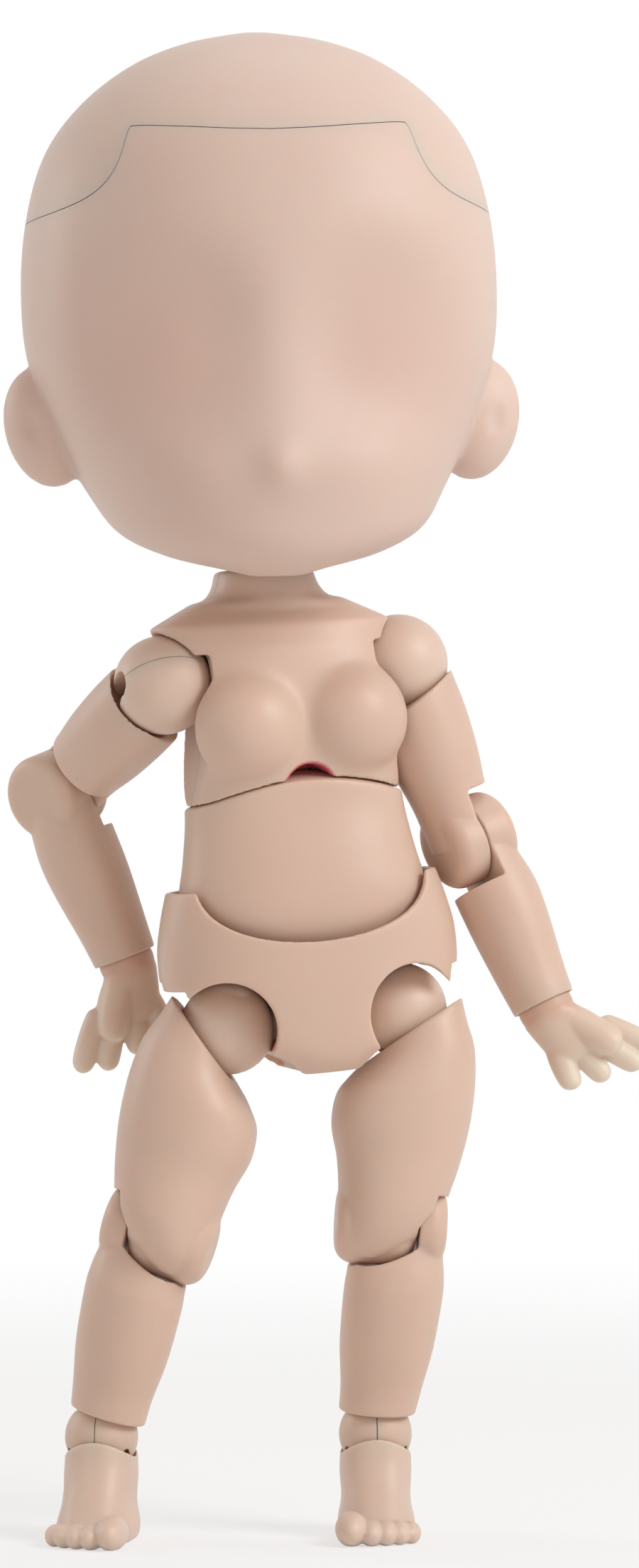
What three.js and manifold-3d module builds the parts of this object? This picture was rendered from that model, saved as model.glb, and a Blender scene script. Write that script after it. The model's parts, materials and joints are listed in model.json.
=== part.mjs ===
// Articulated doll, millimetres, +Z up, facing -Y, with its right side towards -X.
// Rigid moulded shells and limbs turn on split balls, hinge tongues and pins.
import * as THREE from 'three';
import { mergeVertices } from 'three/addons/utils/BufferGeometryUtils.js';
import Module from 'manifold-3d';

const wasm = await Module();
wasm.setup();

// Fits
const runningClearance = 0.3;
const seamGap = 0.14;

// Head
const headWidth = 44.2;
const headHeight = 50.7;
const headFront = 19.6;
const headBack = 22.4;
const headWall = 2;
const earHeight = 11.4;
const earDepth = 7;
const earStandout = 1.7;
const noseLength = 0.9;
const headSplit = 3.5;
const crownCornerHalfWidth = 12.6;
const crownCornerHeight = 41.2;
const crownSideHeight = 33.4;
const neckHoleRadius = 6.6;
const headBallHeight = 8.8;

// Neck
const neckWidth = 9.2;
const neckBallRadius = 3.8;
const neckPostLength = 11;
const neckPostRadius = 1.2;
const neckHingeHeight = 17;

// Chest
const chestWidth = 21.2;
const chestFront = 6.3;
const chestBack = 6.5;
const chestHeight = 15.2;
const chestDomeRadius = 6;
const chestDomeSpacing = 10;
const shoulderSpacing = 23;
const shoulderHeight = 10.2;
const neckStubHeight = 4.2;

// Abdomen
const abdomenTopWidth = 20.4;
const abdomenWidth = 23.4;
const abdomenFront = 7.6;
const abdomenBack = 6.8;
const abdomenLength = 12;

// Pelvis
const pelvisWidth = 28;
const pelvisFront = 8.6;
const pelvisBack = 8.8;
const pelvisFloor = 4.6;
const pelvisRimSide = 13;
const pelvisRimFront = 7.6;
const hipSpacing = 16.5;

// Waist: a link with two crossed tongues, and a flanged peg that the chest turns on
const waistHeight = 10;
const waistLinkLow = 5.4;
const waistLinkHigh = 11.6;
const waistTongue = 2.5;
const waistStem = 1.4;
const pegRadius = 1.6;
const pegFlange = 2.7;
const pegDepth = 5.2;
const pegHeight = 5;
const pedestalRadius = 3.3;

// Joint hardware
const tongueRadius = 1.9;
const shoulderBallRadius = 4.6;
const hipBallRadius = 4.4;
const ankleBallRadius = 3.4;
const tongueThickness = 1.5;
const shoulderStem = 9;
const hipStem = 9;
const wristTongue = 1.25;
const wristStem = 5.4;
const ankleTongue = 1.1;
const forkReach = 1.75;
const forkThickness = 0.7;
const stemRadius = 0.9;
const trunnionRadius = 1.5;
const trunnionLength = 1.9;
const pinRadius = 0.75;

// Arms
const upperArmLength = 17.8;
const armTopRadius = 4.35;
const elbowWidth = 6.6;
const elbowRadius = 4;
const forearmLength = 17.3;
const forearmWidth = 7.8;
const wristWidth = 5.5;
const wristBallRadius = 2.45;
const armRestClearance = 16;

// Hands
const palmLength = 4.6;
const palmWidth = 6.4;
const palmThickness = 3;
const fingerLength = 4.6;
const fingerRadius = 0.95;

// Legs
const thighLength = 19.9;
const thighWidth = 12.8;
const kneeWidth = 10;
const kneeRadius = 4.1;
const kneeLapOffset = 2.6;
const thighTopSlope = 37;
const thighTopDrop = 2.9;
const thighTopReach = 6.9;
const thighSwingReach = 7.4;
const crotchRoom = 6.3;
const calfLength = 19.8;
const calfWidth = 9.4;
const calfEndWidth = 7.1;

// Feet
const ankleHeight = 9.4;
const footLength = 14.6;
const footWidth = 8;
const heelLength = 4.6;
const toeRadius = 1.25;

// Standing pose in degrees. Lean is towards the doll's right, forward is towards -Y.
const pelvisYaw = 12;
const chestYaw = 17;
const torsoLean = -5.3;
const headYaw = 5;
const headTilt = -1.2;
const pelvisX = 4.4;
const rightThigh = { lean: 17.9, forward: 5 };
const rightCalf = { lean: 16.3, forward: -4.5 };
const leftThigh = { lean: 3.0, forward: 7 };
const leftCalf = { lean: 3.6, forward: -5 };
const rightUpperArm = { lean: 44.9, forward: -38 };
const rightForearm = { lean: -21.4, forward: -1 };
const leftUpperArm = { lean: -20.8, forward: -1 };
const leftForearm = { lean: -25.5, forward: 7 };
const rightFootYaw = -10;
const leftFootYaw = 2;

const smoothPlastic = { roughness: 0.5, metalness: 0 };
const bodyColour = 0xd2b59c;
const headColour = 0xd8bca3;
const handColour = 0xdcc3a6;
const innerColour = 0xcdb9a6;

// Solids

function toSolid(geometry) {
  const bare = geometry.clone();
  bare.deleteAttribute('normal');
  bare.deleteAttribute('uv');
  const merged = mergeVertices(bare, 1e-4);
  const corners = merged.index.array;
  const kept = [];
  for (let i = 0; i < corners.length; i += 3) {
    const [a, b, c] = [corners[i], corners[i + 1], corners[i + 2]];
    if (a !== b && b !== c && c !== a) kept.push(a, b, c);
  }
  const vertProperties = new Float32Array(merged.attributes.position.array);
  const triVerts = new Uint32Array(kept);
  return new wasm.Manifold(new wasm.Mesh({ numProp: 3, vertProperties, triVerts }));
}

function toGeometry(solid) {
  const mesh = solid.getMesh();
  const geometry = new THREE.BufferGeometry();
  geometry.setAttribute('position', new THREE.Float32BufferAttribute(mesh.vertProperties, 3));
  geometry.setIndex(Array.from(mesh.triVerts));
  return geometry;
}

function join(first, ...others) {
  return others.reduce((sum, other) => sum.add(other), first);
}

function cut(first, ...others) {
  return others.reduce((rest, other) => rest.subtract(other), first);
}

function common(first, ...others) {
  return others.reduce((rest, other) => rest.intersect(other), first);
}

function mirrored(geometry) {
  const copy = geometry.clone().scale(-1, 1, 1);
  const corners = Array.from(copy.index.array);
  for (let i = 0; i < corners.length; i += 3) {
    [corners[i + 1], corners[i + 2]] = [corners[i + 2], corners[i + 1]];
  }
  copy.setIndex(corners);
  return copy;
}

function block(size, centre) {
  return toSolid(new THREE.BoxGeometry(...size).translate(...centre));
}

// Everything on one side of a plane square to an axis: side +1 keeps what lies above the offset.
function half(axis, side, offset) {
  const reach = 90;
  const centre = [0, 0, 0];
  centre['xyz'.indexOf(axis)] = offset + (side * reach) / 2;
  const size = [2 * reach, 2 * reach, 2 * reach];
  size['xyz'.indexOf(axis)] = reach;
  return block(size, centre);
}

function sphere(radius, centre = [0, 0, 0], stretch = [1, 1, 1], columns = 12, rows = 8) {
  const geometry = new THREE.SphereGeometry(radius, columns, rows).rotateX(Math.PI / 2);
  return toSolid(geometry.scale(...stretch).translate(...centre));
}

function turnTo(geometry, axis) {
  if (axis === 'x') return geometry.rotateZ(-Math.PI / 2);
  if (axis === 'z') return geometry.rotateX(Math.PI / 2);
  return geometry;
}

function rod(radius, from, to, axis, sides = 16) {
  const centre = [0, 0, 0];
  centre['xyz'.indexOf(axis)] = (from + to) / 2;
  const geometry = new THREE.CylinderGeometry(radius, radius, Math.abs(to - from), sides);
  return toSolid(turnTo(geometry, axis).translate(...centre));
}

// A turned solid: the profile holds [radius, distance along the axis] from one end to the other.
function turned(profile, axis, sides = 20) {
  const points = profile.map(([radius, along]) => new THREE.Vector2(radius, along));
  return toSolid(turnTo(new THREE.LatheGeometry(points, sides), axis));
}

// A value of each column on the smooth curve through the rows, at row number t.
function along(rows, t) {
  const last = rows.length - 1;
  const index = Math.min(Math.floor(t), last - 1);
  const u = t - index;
  const [b, c] = [rows[index], rows[index + 1]];
  const a = rows[Math.max(index - 1, 0)];
  const d = rows[Math.min(index + 2, last)];
  return b.map((value, k) => {
    const tangentB = (c[k] - a[k]) / 2;
    const tangentC = (d[k] - b[k]) / 2;
    const bend = 3 * (c[k] - value) - 2 * tangentB - tangentC;
    const twist = 2 * (value - c[k]) + tangentB + tangentC;
    return value + u * (tangentB + u * (bend + u * twist));
  });
}

// A closed skin through sections [height, half width, front depth, back depth, centre x, centre y].
// Power 2 gives ellipses, and more gives squarer sections.
function loft(sections, { rings = 8, sides = 18, power = 2.2 } = {}) {
  const full = sections.map(([z, w, front, back, x = 0, y = 0]) => [z, w, front, back, x, y]);
  const rows = full[0][0] < full[full.length - 1][0] ? full : full.reverse();
  const positions = [];
  const corners = [];
  const bend = (value) => Math.sign(value) * Math.abs(value) ** (2 / power);
  for (let ring = 0; ring <= rings; ring += 1) {
    const [z, halfWidth, front, back, x, y] = along(rows, (ring / rings) * (rows.length - 1));
    for (let side = 0; side < sides; side += 1) {
      const angle = (2 * Math.PI * side) / sides;
      const [c, s] = [bend(Math.cos(angle)), bend(Math.sin(angle))];
      positions.push(x + halfWidth * c, y + (s < 0 ? front : back) * s, z);
    }
  }
  const [bottom, top] = [positions.length / 3, positions.length / 3 + 1];
  const first = rows[0];
  const final = rows[rows.length - 1];
  positions.push(first[4], first[5], first[0], final[4], final[5], final[0]);
  for (let side = 0; side < sides; side += 1) {
    const next = (side + 1) % sides;
    corners.push(bottom, next, side, top, rings * sides + side, rings * sides + next);
    for (let ring = 0; ring < rings; ring += 1) {
      const low = ring * sides;
      const high = low + sides;
      corners.push(low + side, low + next, high + next, low + side, high + next, high + side);
    }
  }
  const geometry = new THREE.BufferGeometry();
  geometry.setAttribute('position', new THREE.Float32BufferAttribute(positions, 3));
  geometry.setIndex(corners);
  return toSolid(geometry);
}

// The space that a stem sweeps about the origin, in the plane square to the axis.
// Angles are in degrees from straight down, positive towards +x (axis y) or +y (axis x).
function fan(halfWidth, thickness, reach, fromAngle, toAngle, axis) {
  const shape = new THREE.Shape();
  const steps = 2;
  const direction = (degrees) => {
    const angle = THREE.MathUtils.degToRad(degrees);
    return new THREE.Vector2(Math.sin(angle), -Math.cos(angle));
  };
  const edge = (degrees, side) => {
    const d = direction(degrees);
    return new THREE.Vector2(-d.y * side * halfWidth, d.x * side * halfWidth);
  };
  const points = [edge(fromAngle, -1)];
  points.push(edge(fromAngle, -1).addScaledVector(direction(fromAngle), reach));
  for (let step = 0; step <= steps; step += 1) {
    const degrees = fromAngle + ((toAngle - fromAngle) * step) / steps;
    points.push(direction(degrees).multiplyScalar(reach * 1.04));
  }
  points.push(edge(toAngle, 1).addScaledVector(direction(toAngle), reach));
  points.push(edge(toAngle, 1));
  shape.setFromPoints(points);
  const geometry = new THREE.ExtrudeGeometry(shape, { depth: thickness, bevelEnabled: false });
  geometry.translate(0, 0, -thickness / 2).rotateX(Math.PI / 2);
  if (axis === 'x') geometry.rotateZ(Math.PI / 2);
  return toSolid(geometry);
}

// Hinge parts that the shoulders, hips, neck, waist, wrists and ankles share

// A round tongue that turns about the axis, with a round stem leading away along z.
function hingeTongue(radius, axis, stemLength, stem = stemRadius) {
  const disc = rod(radius, -tongueThickness / 2, tongueThickness / 2, axis, 12);
  const neck = rod(stem, radius * 0.5 * Math.sign(stemLength), stemLength, 'z', 8);
  return join(disc, neck);
}

// What is cut from a housing so that a tongue can swing in it between two angles.
function tongueRoom(radius, axis, fromAngle, toAngle, reach, stem = stemRadius) {
  const width = tongueThickness + 2 * runningClearance;
  const disc = rod(radius + runningClearance, -width / 2, width / 2, axis, 12);
  const stemRoom = stem + runningClearance;
  return join(disc, fan(stemRoom, 2 * stemRoom, reach, fromAngle, toAngle, axis));
}

function upturned(solid) {
  return toSolid(toGeometry(solid).rotateX(Math.PI));
}

function moved(solid, x, y, z) {
  return toSolid(toGeometry(solid).translate(x, y, z));
}

// A ball cut into two moulded halves.
function splitBall(solid, axis) {
  return [
    common(solid, half(axis, -1, -seamGap / 2)),
    common(solid, half(axis, 1, seamGap / 2)),
  ];
}

// A stub with a collar on the inner side of a ball, on which the ball swings.
function trunnion(ballRadius, extra) {
  const start = ballRadius - 0.8;
  const end = ballRadius + trunnionLength;
  return turned([
    [0, -end - extra],
    [trunnionRadius + 0.7 + extra, -end - extra],
    [trunnionRadius + 0.7 + extra, -end + 0.8 + extra],
    [trunnionRadius + extra, -end + 0.8 + extra],
    [trunnionRadius + extra, -start],
    [0, -start],
  ], 'x', 10);
}

// One end of an overlapping hinge at the origin, on the limb that lies towards end * z.
// Its own side keeps the full section and a rounded disc. The other side makes room for the neighbour.
function lapEnd(body, radius, halfWidth, own, end, lap = 0, edge = 1, frontRoom = 2 * radius) {
  const face = lap + (own * seamGap) / 2;
  const outer = own * halfWidth;
  const profile = [
    [0, face],
    [radius, face],
    [radius, outer - own * edge],
    [radius - edge * 0.3, outer - own * edge * 0.3],
    [radius - edge, outer],
    [0, outer],
  ];
  const disc = turned(own > 0 ? profile : profile.reverse(), 'x', 16);
  const far = -own * (halfWidth + 4);
  const roomRadius = radius + runningClearance;
  const round = rod(roomRadius, Math.min(face, far), Math.max(face, far), 'x', 16);
  const width = Math.abs(far - face);
  const depth = roomRadius + 8;
  const long = frontRoom + 2 * radius;
  const centre = [(far + face) / 2, radius - frontRoom / 2, end * (roomRadius + 0.25 - depth / 2)];
  return join(cut(body, round, block([width, long, depth], centre)), disc);
}

function pinHole(halfWidth) {
  return rod(pinRadius + runningClearance, -halfWidth + 1, halfWidth - 1, 'x', 8);
}

function hingePin(halfWidth) {
  const reach = halfWidth - 1 - runningClearance;
  return rod(pinRadius, -reach, reach, 'x', 8);
}

// Head, with its origin on the neck ball and the chin below it

const chinDrop = headBallHeight;

// Rows of height, half width, front and back as shares of the head's size.
const headRows = [
  [0.0, 0.10, -0.70, 0.42],
  [0.012, 0.2, -0.80, 0.25],
  [0.04, 0.44, -0.88, 0.02],
  [0.085, 0.66, -0.93, -0.28],
  [0.16, 0.79, -0.965, -0.62],
  [0.26, 0.89, -0.985, -0.86],
  [0.40, 0.975, -1.0, -0.97],
  [0.53, 1.0, -1.0, -1.0],
  [0.66, 0.975, -0.97, -0.97],
  [0.78, 0.895, -0.87, -0.88],
  [0.87, 0.745, -0.70, -0.72],
  [0.94, 0.535, -0.49, -0.51],
  [0.98, 0.31, -0.28, -0.30],
  [1.0, 0.06, -0.05, -0.05],
];

function headForm(wall, rings, sides) {
  const sections = headRows.map(([share, width, frontShare, backShare]) => {
    const height = wall + share * (headHeight - 2 * wall) - chinDrop;
    const front = frontShare * headFront;
    const back = -backShare * headBack;
    const middle = (front + back) / 2;
    const shrink = (value) => Math.max(value - wall, 0.4);
    return [
      height,
      shrink(width * headWidth / 2),
      shrink(middle - front),
      shrink(back - middle),
      0,
      middle,
    ];
  });
  return loft(sections, { rings, sides, power: 2.25 });
}

function ear(side) {
  const x = side * (headWidth / 2 + earStandout - 2.9);
  const z = 0.285 * headHeight - chinDrop;
  const shell = sphere(1, [x, 0.2, z], [2.9, earDepth / 2, earHeight / 2], 10, 7);
  const scoop = sphere(1, [x + side * 1.9, -1.9, z + 0.3], [1.6, 2.2, earHeight * 0.33], 6, 5);
  return cut(shell, scoop);
}

// The part of the front that the crown covers: a flat-topped bay between two rounded shoulders.
function crownRegion(lift) {
  const reach = headWidth;
  const low = crownSideHeight - chinDrop + lift;
  const high = crownCornerHeight - chinDrop + lift;
  const corner = crownCornerHalfWidth;
  const shape = new THREE.Shape();
  shape.moveTo(-reach, low);
  shape.lineTo(-corner - 9, low);
  shape.bezierCurveTo(-corner - 3, low + 0.6, -corner - 1.2, low + 3, -corner - 0.4, high - 1);
  shape.quadraticCurveTo(-corner, high, -corner + 1.2, high);
  shape.lineTo(corner - 1.2, high);
  shape.quadraticCurveTo(corner, high, corner + 0.4, high - 1);
  shape.bezierCurveTo(corner + 1.2, low + 3, corner + 3, low + 0.6, corner + 9, low);
  shape.lineTo(reach, low);
  shape.lineTo(reach, headHeight);
  shape.lineTo(-reach, headHeight);
  const geometry = new THREE.ExtrudeGeometry(shape, { depth: 60, bevelEnabled: false, curveSegments: 4 });
  return toSolid(geometry.rotateX(Math.PI / 2).translate(0, 30, 0));
}

function headPieces() {
  const neckHole = rod(neckHoleRadius, -chinDrop - 5, 0, 'z', 16);
  const hollow = join(headForm(headWall, 7, 14), neckHole);
  const nose = sphere(1, [0, -headFront + 0.2, 0.2 * headHeight - chinDrop], [1.2, noseLength + 0.2, 1.5], 6, 5);
  const outside = join(headForm(0, 13, 22), nose);
  const shell = cut(outside, hollow);
  const ears = cut(join(ear(1), ear(-1)), headForm(headWall, 7, 14));
  const front = common(join(shell, ears), half('y', -1, headSplit - seamGap / 2));
  const face = cut(front, crownRegion(-seamGap));
  const crown = common(front, crownRegion(seamGap));
  const back = common(shell, half('y', 1, headSplit + seamGap / 2));
  return { face, crown, back };
}

// A cup that grips the neck ball and is held in the head by a cross web.
function headSocket() {
  const outer = neckBallRadius + runningClearance + 1.6;
  const web = block([2 * headWidth, 3, 3], [0, 1.5, outer]);
  const spine = block([3, 2 * headBack, 3], [0, headBack / 2 + 1.5, outer]);
  const held = common(join(web, spine), headForm(headWall + runningClearance, 7, 14));
  const room = sphere(neckBallRadius + runningClearance);
  const mouth = half('z', -1, -neckBallRadius * 0.45);
  return cut(join(sphere(outer), held), room, mouth);
}

function neckBallHalves() {
  const room = tongueRoom(tongueRadius, 'y', -18, 18, neckBallRadius + 2, neckPostRadius);
  return splitBall(cut(sphere(neckBallRadius), room), 'y');
}

function neckPost() {
  const top = hingeTongue(tongueRadius, 'y', -neckPostLength / 2, neckPostRadius);
  const foot = hingeTongue(tongueRadius, 'x', neckPostLength / 2, neckPostRadius);
  return join(top, moved(foot, 0, 0, -neckPostLength));
}

// Chest, with its origin on the upper waist joint

function chestForm() {
  const width = chestWidth / 2;
  const neck = neckWidth / 2;
  const top = chestHeight;
  return loft([
    [-0.5, width * 0.96, chestFront * 0.94, chestBack * 0.93],
    [top * 0.2, width, chestFront, chestBack],
    [top * 0.5, width, chestFront, chestBack],
    [top * 0.78, width, chestFront * 0.92, chestBack * 0.94],
    [top * 0.93, width * 1.04, chestFront * 0.78, chestBack * 0.82],
    [top, width * 1.02, chestFront * 0.7, chestBack * 0.74],
    [top + neckStubHeight * 0.22, width * 0.88, chestFront * 0.66, chestBack * 0.72, 0, 0.2],
    [top + neckStubHeight * 0.45, neck * 1.36, neck * 0.96, neck * 1.05, 0, 0.4],
    [top + neckStubHeight * 0.7, neck * 1.08, neck * 0.95, neck, 0, 0.4],
    [top + neckStubHeight, neck, neck * 0.95, neck, 0, 0.4],
  ], { rings: 10, sides: 18, power: 2.5 });
}

function chestDomes() {
  const stretch = [0.93, 1, 0.95];
  const z = chestHeight * 0.36;
  return [-1, 1].map((side) => {
    const centre = [(side * chestDomeSpacing) / 2, -chestFront + chestDomeRadius * 0.62, z];
    return sphere(chestDomeRadius, centre, stretch, 14, 8);
  });
}

// Room for a shoulder ball, and behind it for the arm that hangs and swings back at rest.
function shoulderRoom(side) {
  const slope = Math.tan(THREE.MathUtils.degToRad(armRestClearance));
  const armRoom = armTopRadius + runningClearance;
  const near = armRoom * 0.85;
  const inner = (distance) => -armRoom / Math.cos(Math.atan(slope)) + slope * distance;
  const reach = 26;
  const cone = turned([
    [0, inner(near)],
    [near, inner(near)],
    [reach, inner(reach)],
    [reach, reach],
    [0, reach],
  ], 'x', 16);
  const behind = common(cone, half('y', 1, -armRoom));
  const room = toGeometry(join(sphere(shoulderBallRadius + runningClearance), behind,
    trunnion(shoulderBallRadius, runningClearance)));
  const placed = side > 0 ? room : mirrored(room);
  return toSolid(placed.translate((side * shoulderSpacing) / 2, 0, shoulderHeight));
}

// The peg that the chest turns on: its flange is held between the halves of the abdomen.
function waistPeg(extra = 0) {
  const flangeTop = -pegDepth + 1.2;
  return turned([
    [0, -pegDepth - extra],
    [pegFlange + extra, -pegDepth - extra],
    [pegFlange + extra, flangeTop + extra],
    [pegRadius + extra, flangeTop + extra],
    [pegRadius + extra, pegHeight + extra],
    [0, pegHeight + extra],
  ], 'z', 12);
}

// The hollow below the chest that the top of the abdomen rises into.
function chestRecess() {
  const width = abdomenTopWidth / 2 - 1.2;
  const front = abdomenFront * 0.82 - 1.2;
  const back = abdomenBack * 0.88 - 1.2;
  return loft([
    [-2, width, front, back],
    [1.2, width * 0.97, front * 0.97, back * 0.97],
    [2.4, width * 0.8, front * 0.8, back * 0.8],
  ], { rings: 2, sides: 12, power: 2.3 });
}

function chestPieces() {
  const hinge = upturned(tongueRoom(tongueRadius, 'x', -18, 18, neckStubHeight + 8, neckPostRadius));
  const rooms = [
    shoulderRoom(1),
    shoulderRoom(-1),
    waistPeg(runningClearance),
    chestRecess(),
    moved(hinge, 0, 0, neckHingeHeight),
  ];
  return splitBall(cut(join(chestForm(), ...chestDomes()), ...rooms), 'y');
}

// Abdomen, with its origin on the lower waist joint

function abdomenForm() {
  const top = abdomenLength - 0.5 - runningClearance;
  const width = abdomenWidth / 2;
  return loft([
    [-5.2, width * 0.5, abdomenFront * 0.5, abdomenBack * 0.5],
    [-3.6, width * 0.76, abdomenFront * 0.78, abdomenBack * 0.8],
    [-1, width * 0.93, abdomenFront * 0.96, abdomenBack * 0.97],
    [1.8, width, abdomenFront, abdomenBack],
    [top * 0.5, width * 0.94, abdomenFront * 0.93, abdomenBack * 0.94],
    [top * 0.8, (width + abdomenTopWidth) / 3.1, abdomenFront * 0.84, abdomenBack * 0.9],
    [top, abdomenTopWidth / 2, abdomenFront * 0.82, abdomenBack * 0.88],
  ], { rings: 5, sides: 18, power: 2.4 });
}

// The low dome on the abdomen that stays hidden in the chest.
function abdomenCap() {
  const top = abdomenLength - 0.5 - runningClearance;
  const radius = abdomenFront * 0.82 - 2.2;
  return loft([
    [top - 1, radius, radius, radius],
    [top + 0.8, radius * 0.97, radius * 0.97, radius * 0.97],
    [top + 1.7, radius * 0.7, radius * 0.7, radius * 0.7],
  ], { rings: 2, sides: 12, power: 2 });
}

function abdomenPieces() {
  const linkRoom = tongueRoom(waistTongue, 'x', -14, 14, 12, waistStem);
  const well = rod(pedestalRadius + 1.3, -9, waistLinkLow + waistTongue + 1 - waistHeight, 'z', 12);
  const rooms = [
    moved(linkRoom, 0, 0, waistLinkHigh - waistHeight),
    moved(waistPeg(runningClearance), 0, 0, abdomenLength),
    well,
  ];
  return splitBall(cut(join(abdomenForm(), abdomenCap()), ...rooms), 'y');
}

// Pelvis, with its origin midway between the hip balls

function pelvisForm() {
  const width = pelvisWidth / 2;
  return loft([
    [-pelvisFloor, width * 0.34, pelvisFront * 0.78, pelvisBack * 0.72],
    [-pelvisFloor * 0.7, width * 0.5, pelvisFront * 0.92, pelvisBack * 0.9],
    [-1.2, width * 0.86, pelvisFront * 0.98, pelvisBack * 0.98],
    [3.2, width * 0.98, pelvisFront, pelvisBack],
    [7, width, pelvisFront * 0.98, pelvisBack],
    [10, width * 0.955, pelvisFront * 0.95, pelvisBack * 0.94],
    [pelvisRimSide, width * 0.88, pelvisFront * 0.92, pelvisBack * 0.88],
  ], { rings: 7, sides: 18, power: 2.35 });
}

// The bowl that the abdomen dips into, lower at the front than at the sides.
function pelvisBowl() {
  const width = abdomenWidth / 2 + runningClearance + 0.15;
  const front = abdomenFront + runningClearance + 0.15;
  const back = abdomenBack + runningClearance + 0.15;
  const bowl = loft([
    [waistHeight - 6.4, width * 0.62, front * 0.66, back * 0.66],
    [waistHeight - 3.6, width * 0.9, front * 0.92, back * 0.92],
    [waistHeight - 0.5, width, front, back],
    [pelvisRimSide + 6, width, front, back],
  ], { rings: 4, sides: 16, power: 2.4 });
  const dip = sphere(1, [0, -pelvisFront, pelvisRimSide + 0.8], [pelvisWidth * 0.42, 9, pelvisRimSide - pelvisRimFront + 0.8], 14, 6);
  return join(bowl, dip);
}

function hipRoom(side) {
  const ballRoom = sphere(hipBallRadius + runningClearance);
  const stub = trunnion(hipBallRadius, runningClearance);
  const room = toGeometry(join(ballRoom, stub));
  const placed = side > 0 ? room : mirrored(room);
  return toSolid(placed.translate((side * hipSpacing) / 2, 0, 0));
}

// The leg openings: a tunnel in front of the ball, and a hollow that the top of the thigh rolls in.
function legRoom(side) {
  const tunnel = rod(hipBallRadius + runningClearance, -14, 0, 'y', 16);
  const swing = rod(thighSwingReach, -crotchRoom, hipBallRadius + 1, 'x', 16);
  const round = sphere(thighTopReach + 2 * runningClearance, [0, 0, 0], [1, 1, 1], 16, 8);
  const shoulder = join(
    common(round, half('x', 1, 0.3), half('y', 1, -4.2), half('z', -1, 4)),
    common(round, half('x', 1, 0.3), half('y', 1, 0.3), half('z', -1, 5.6)),
  );
  const outside = block([20, 30, 20], [hipBallRadius + 10.2, 0, -8.8]);
  const room = toGeometry(join(common(swing, half('z', -1, -0.4)), tunnel, shoulder, outside));
  const placed = side > 0 ? room : mirrored(room);
  return toSolid(placed.translate((side * hipSpacing) / 2, 0, 0));
}

function pelvisPieces() {
  const linkRoom = upturned(tongueRoom(waistTongue, 'y', -10, 10, 9, waistStem));
  const pedestal = rod(pedestalRadius, 0, waistLinkLow + waistTongue + 0.5, 'z', 12);
  const rooms = [hipRoom(1), hipRoom(-1), legRoom(1), legRoom(-1), moved(linkRoom, 0, 0, waistLinkLow)];
  return splitBall(cut(join(cut(pelvisForm(), pelvisBowl()), pedestal), ...rooms), 'y');
}

// The waist link: a tongue across the pelvis and one along it.
function waistLink() {
  const length = waistLinkHigh - waistLinkLow;
  const low = hingeTongue(waistTongue, 'y', length / 2 + 0.2, waistStem);
  const high = hingeTongue(waistTongue, 'x', -length / 2, waistStem);
  return join(low, moved(high, 0, 0, length));
}

// Shoulders and hips, drawn for the left side with the body towards -x

function swingBall(radius, fromAngle, toAngle) {
  const body = join(sphere(radius), trunnion(radius, 0));
  return splitBall(cut(body, tongueRoom(tongueRadius, 'y', fromAngle, toAngle, radius + 2)), 'y');
}

function limbStem(length) {
  return hingeTongue(tongueRadius, 'y', -length);
}

// Limb segments, drawn for the left side, hanging from the origin along -z

function upperArm() {
  const top = -3.0;
  const elbow = elbowWidth / 2;
  const length = upperArmLength;
  const sleeve = loft([
    [top, armTopRadius, armTopRadius, armTopRadius],
    [-length * 0.34, armTopRadius, armTopRadius, armTopRadius],
    [-length * 0.56, armTopRadius * 0.92, armTopRadius * 0.94, armTopRadius * 0.94],
    [-length * 0.76, elbow * 1.05, elbow * 1.1, elbow * 1.1],
    [-length, elbow, elbow * 1.08, elbow * 1.08],
  ], { rings: 5, sides: 12, power: 2.15 });
  const arm = lapEnd(moved(sleeve, 0, 0, length), elbowRadius, elbow, -1, 1);
  const cup = sphere(shoulderBallRadius + runningClearance);
  const bore = rod(stemRadius + runningClearance, 0, -shoulderStem - runningClearance, 'z', 8);
  return cut(moved(cut(arm, pinHole(elbow)), 0, 0, -length), cup, bore);
}

function forearm() {
  const elbow = elbowWidth / 2;
  const widest = forearmWidth / 2;
  const wrist = wristWidth / 2;
  const end = -(forearmLength - 0.4);
  const sleeve = loft([
    [0, elbow, elbow * 1.1, elbow * 1.1, 0.1],
    [-elbowRadius * 0.8, elbow * 1.1, elbow * 1.12, elbow * 1.12, 0.4],
    [-elbowRadius * 1.5, widest * 0.98, widest * 0.98, widest * 0.98, 0.55],
    [end * 0.55, widest * 0.94, widest * 0.94, widest * 0.94, 0.4],
    [end * 0.82, wrist * 1.1, wrist * 1.08, wrist * 1.08, 0.1],
    [end, wrist, wrist, wrist],
  ], { rings: 6, sides: 12, power: 2.15 });
  const arm = lapEnd(sleeve, elbowRadius, elbow + 0.3, 1, -1);
  const cup = moved(sphere(wristBallRadius + runningClearance), 0, 0, -forearmLength);
  const bore = rod(stemRadius + runningClearance, -forearmLength, -forearmLength + wristStem + 0.4, 'z', 8);
  return cut(arm, pinHole(elbow), cup, bore);
}

function wristJoint() {
  return hingeTongue(wristTongue, 'x', wristStem);
}

// One finger: a tapered rod that curls as it leaves the palm.
function finger(length, radius, root, spread, curl) {
  const rows = [0, 0.35, 0.7, 0.93, 1].map((share, row) => {
    const fat = [1, 1.04, 0.97, 0.72, 0.3][row] * radius;
    return [-length * share, fat, fat, fat, 0, -curl * share * share * length];
  });
  const solid = toGeometry(loft(rows, { rings: 3, sides: 5, power: 2 }));
  return toSolid(solid.rotateY(THREE.MathUtils.degToRad(spread)).translate(...root));
}

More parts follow.
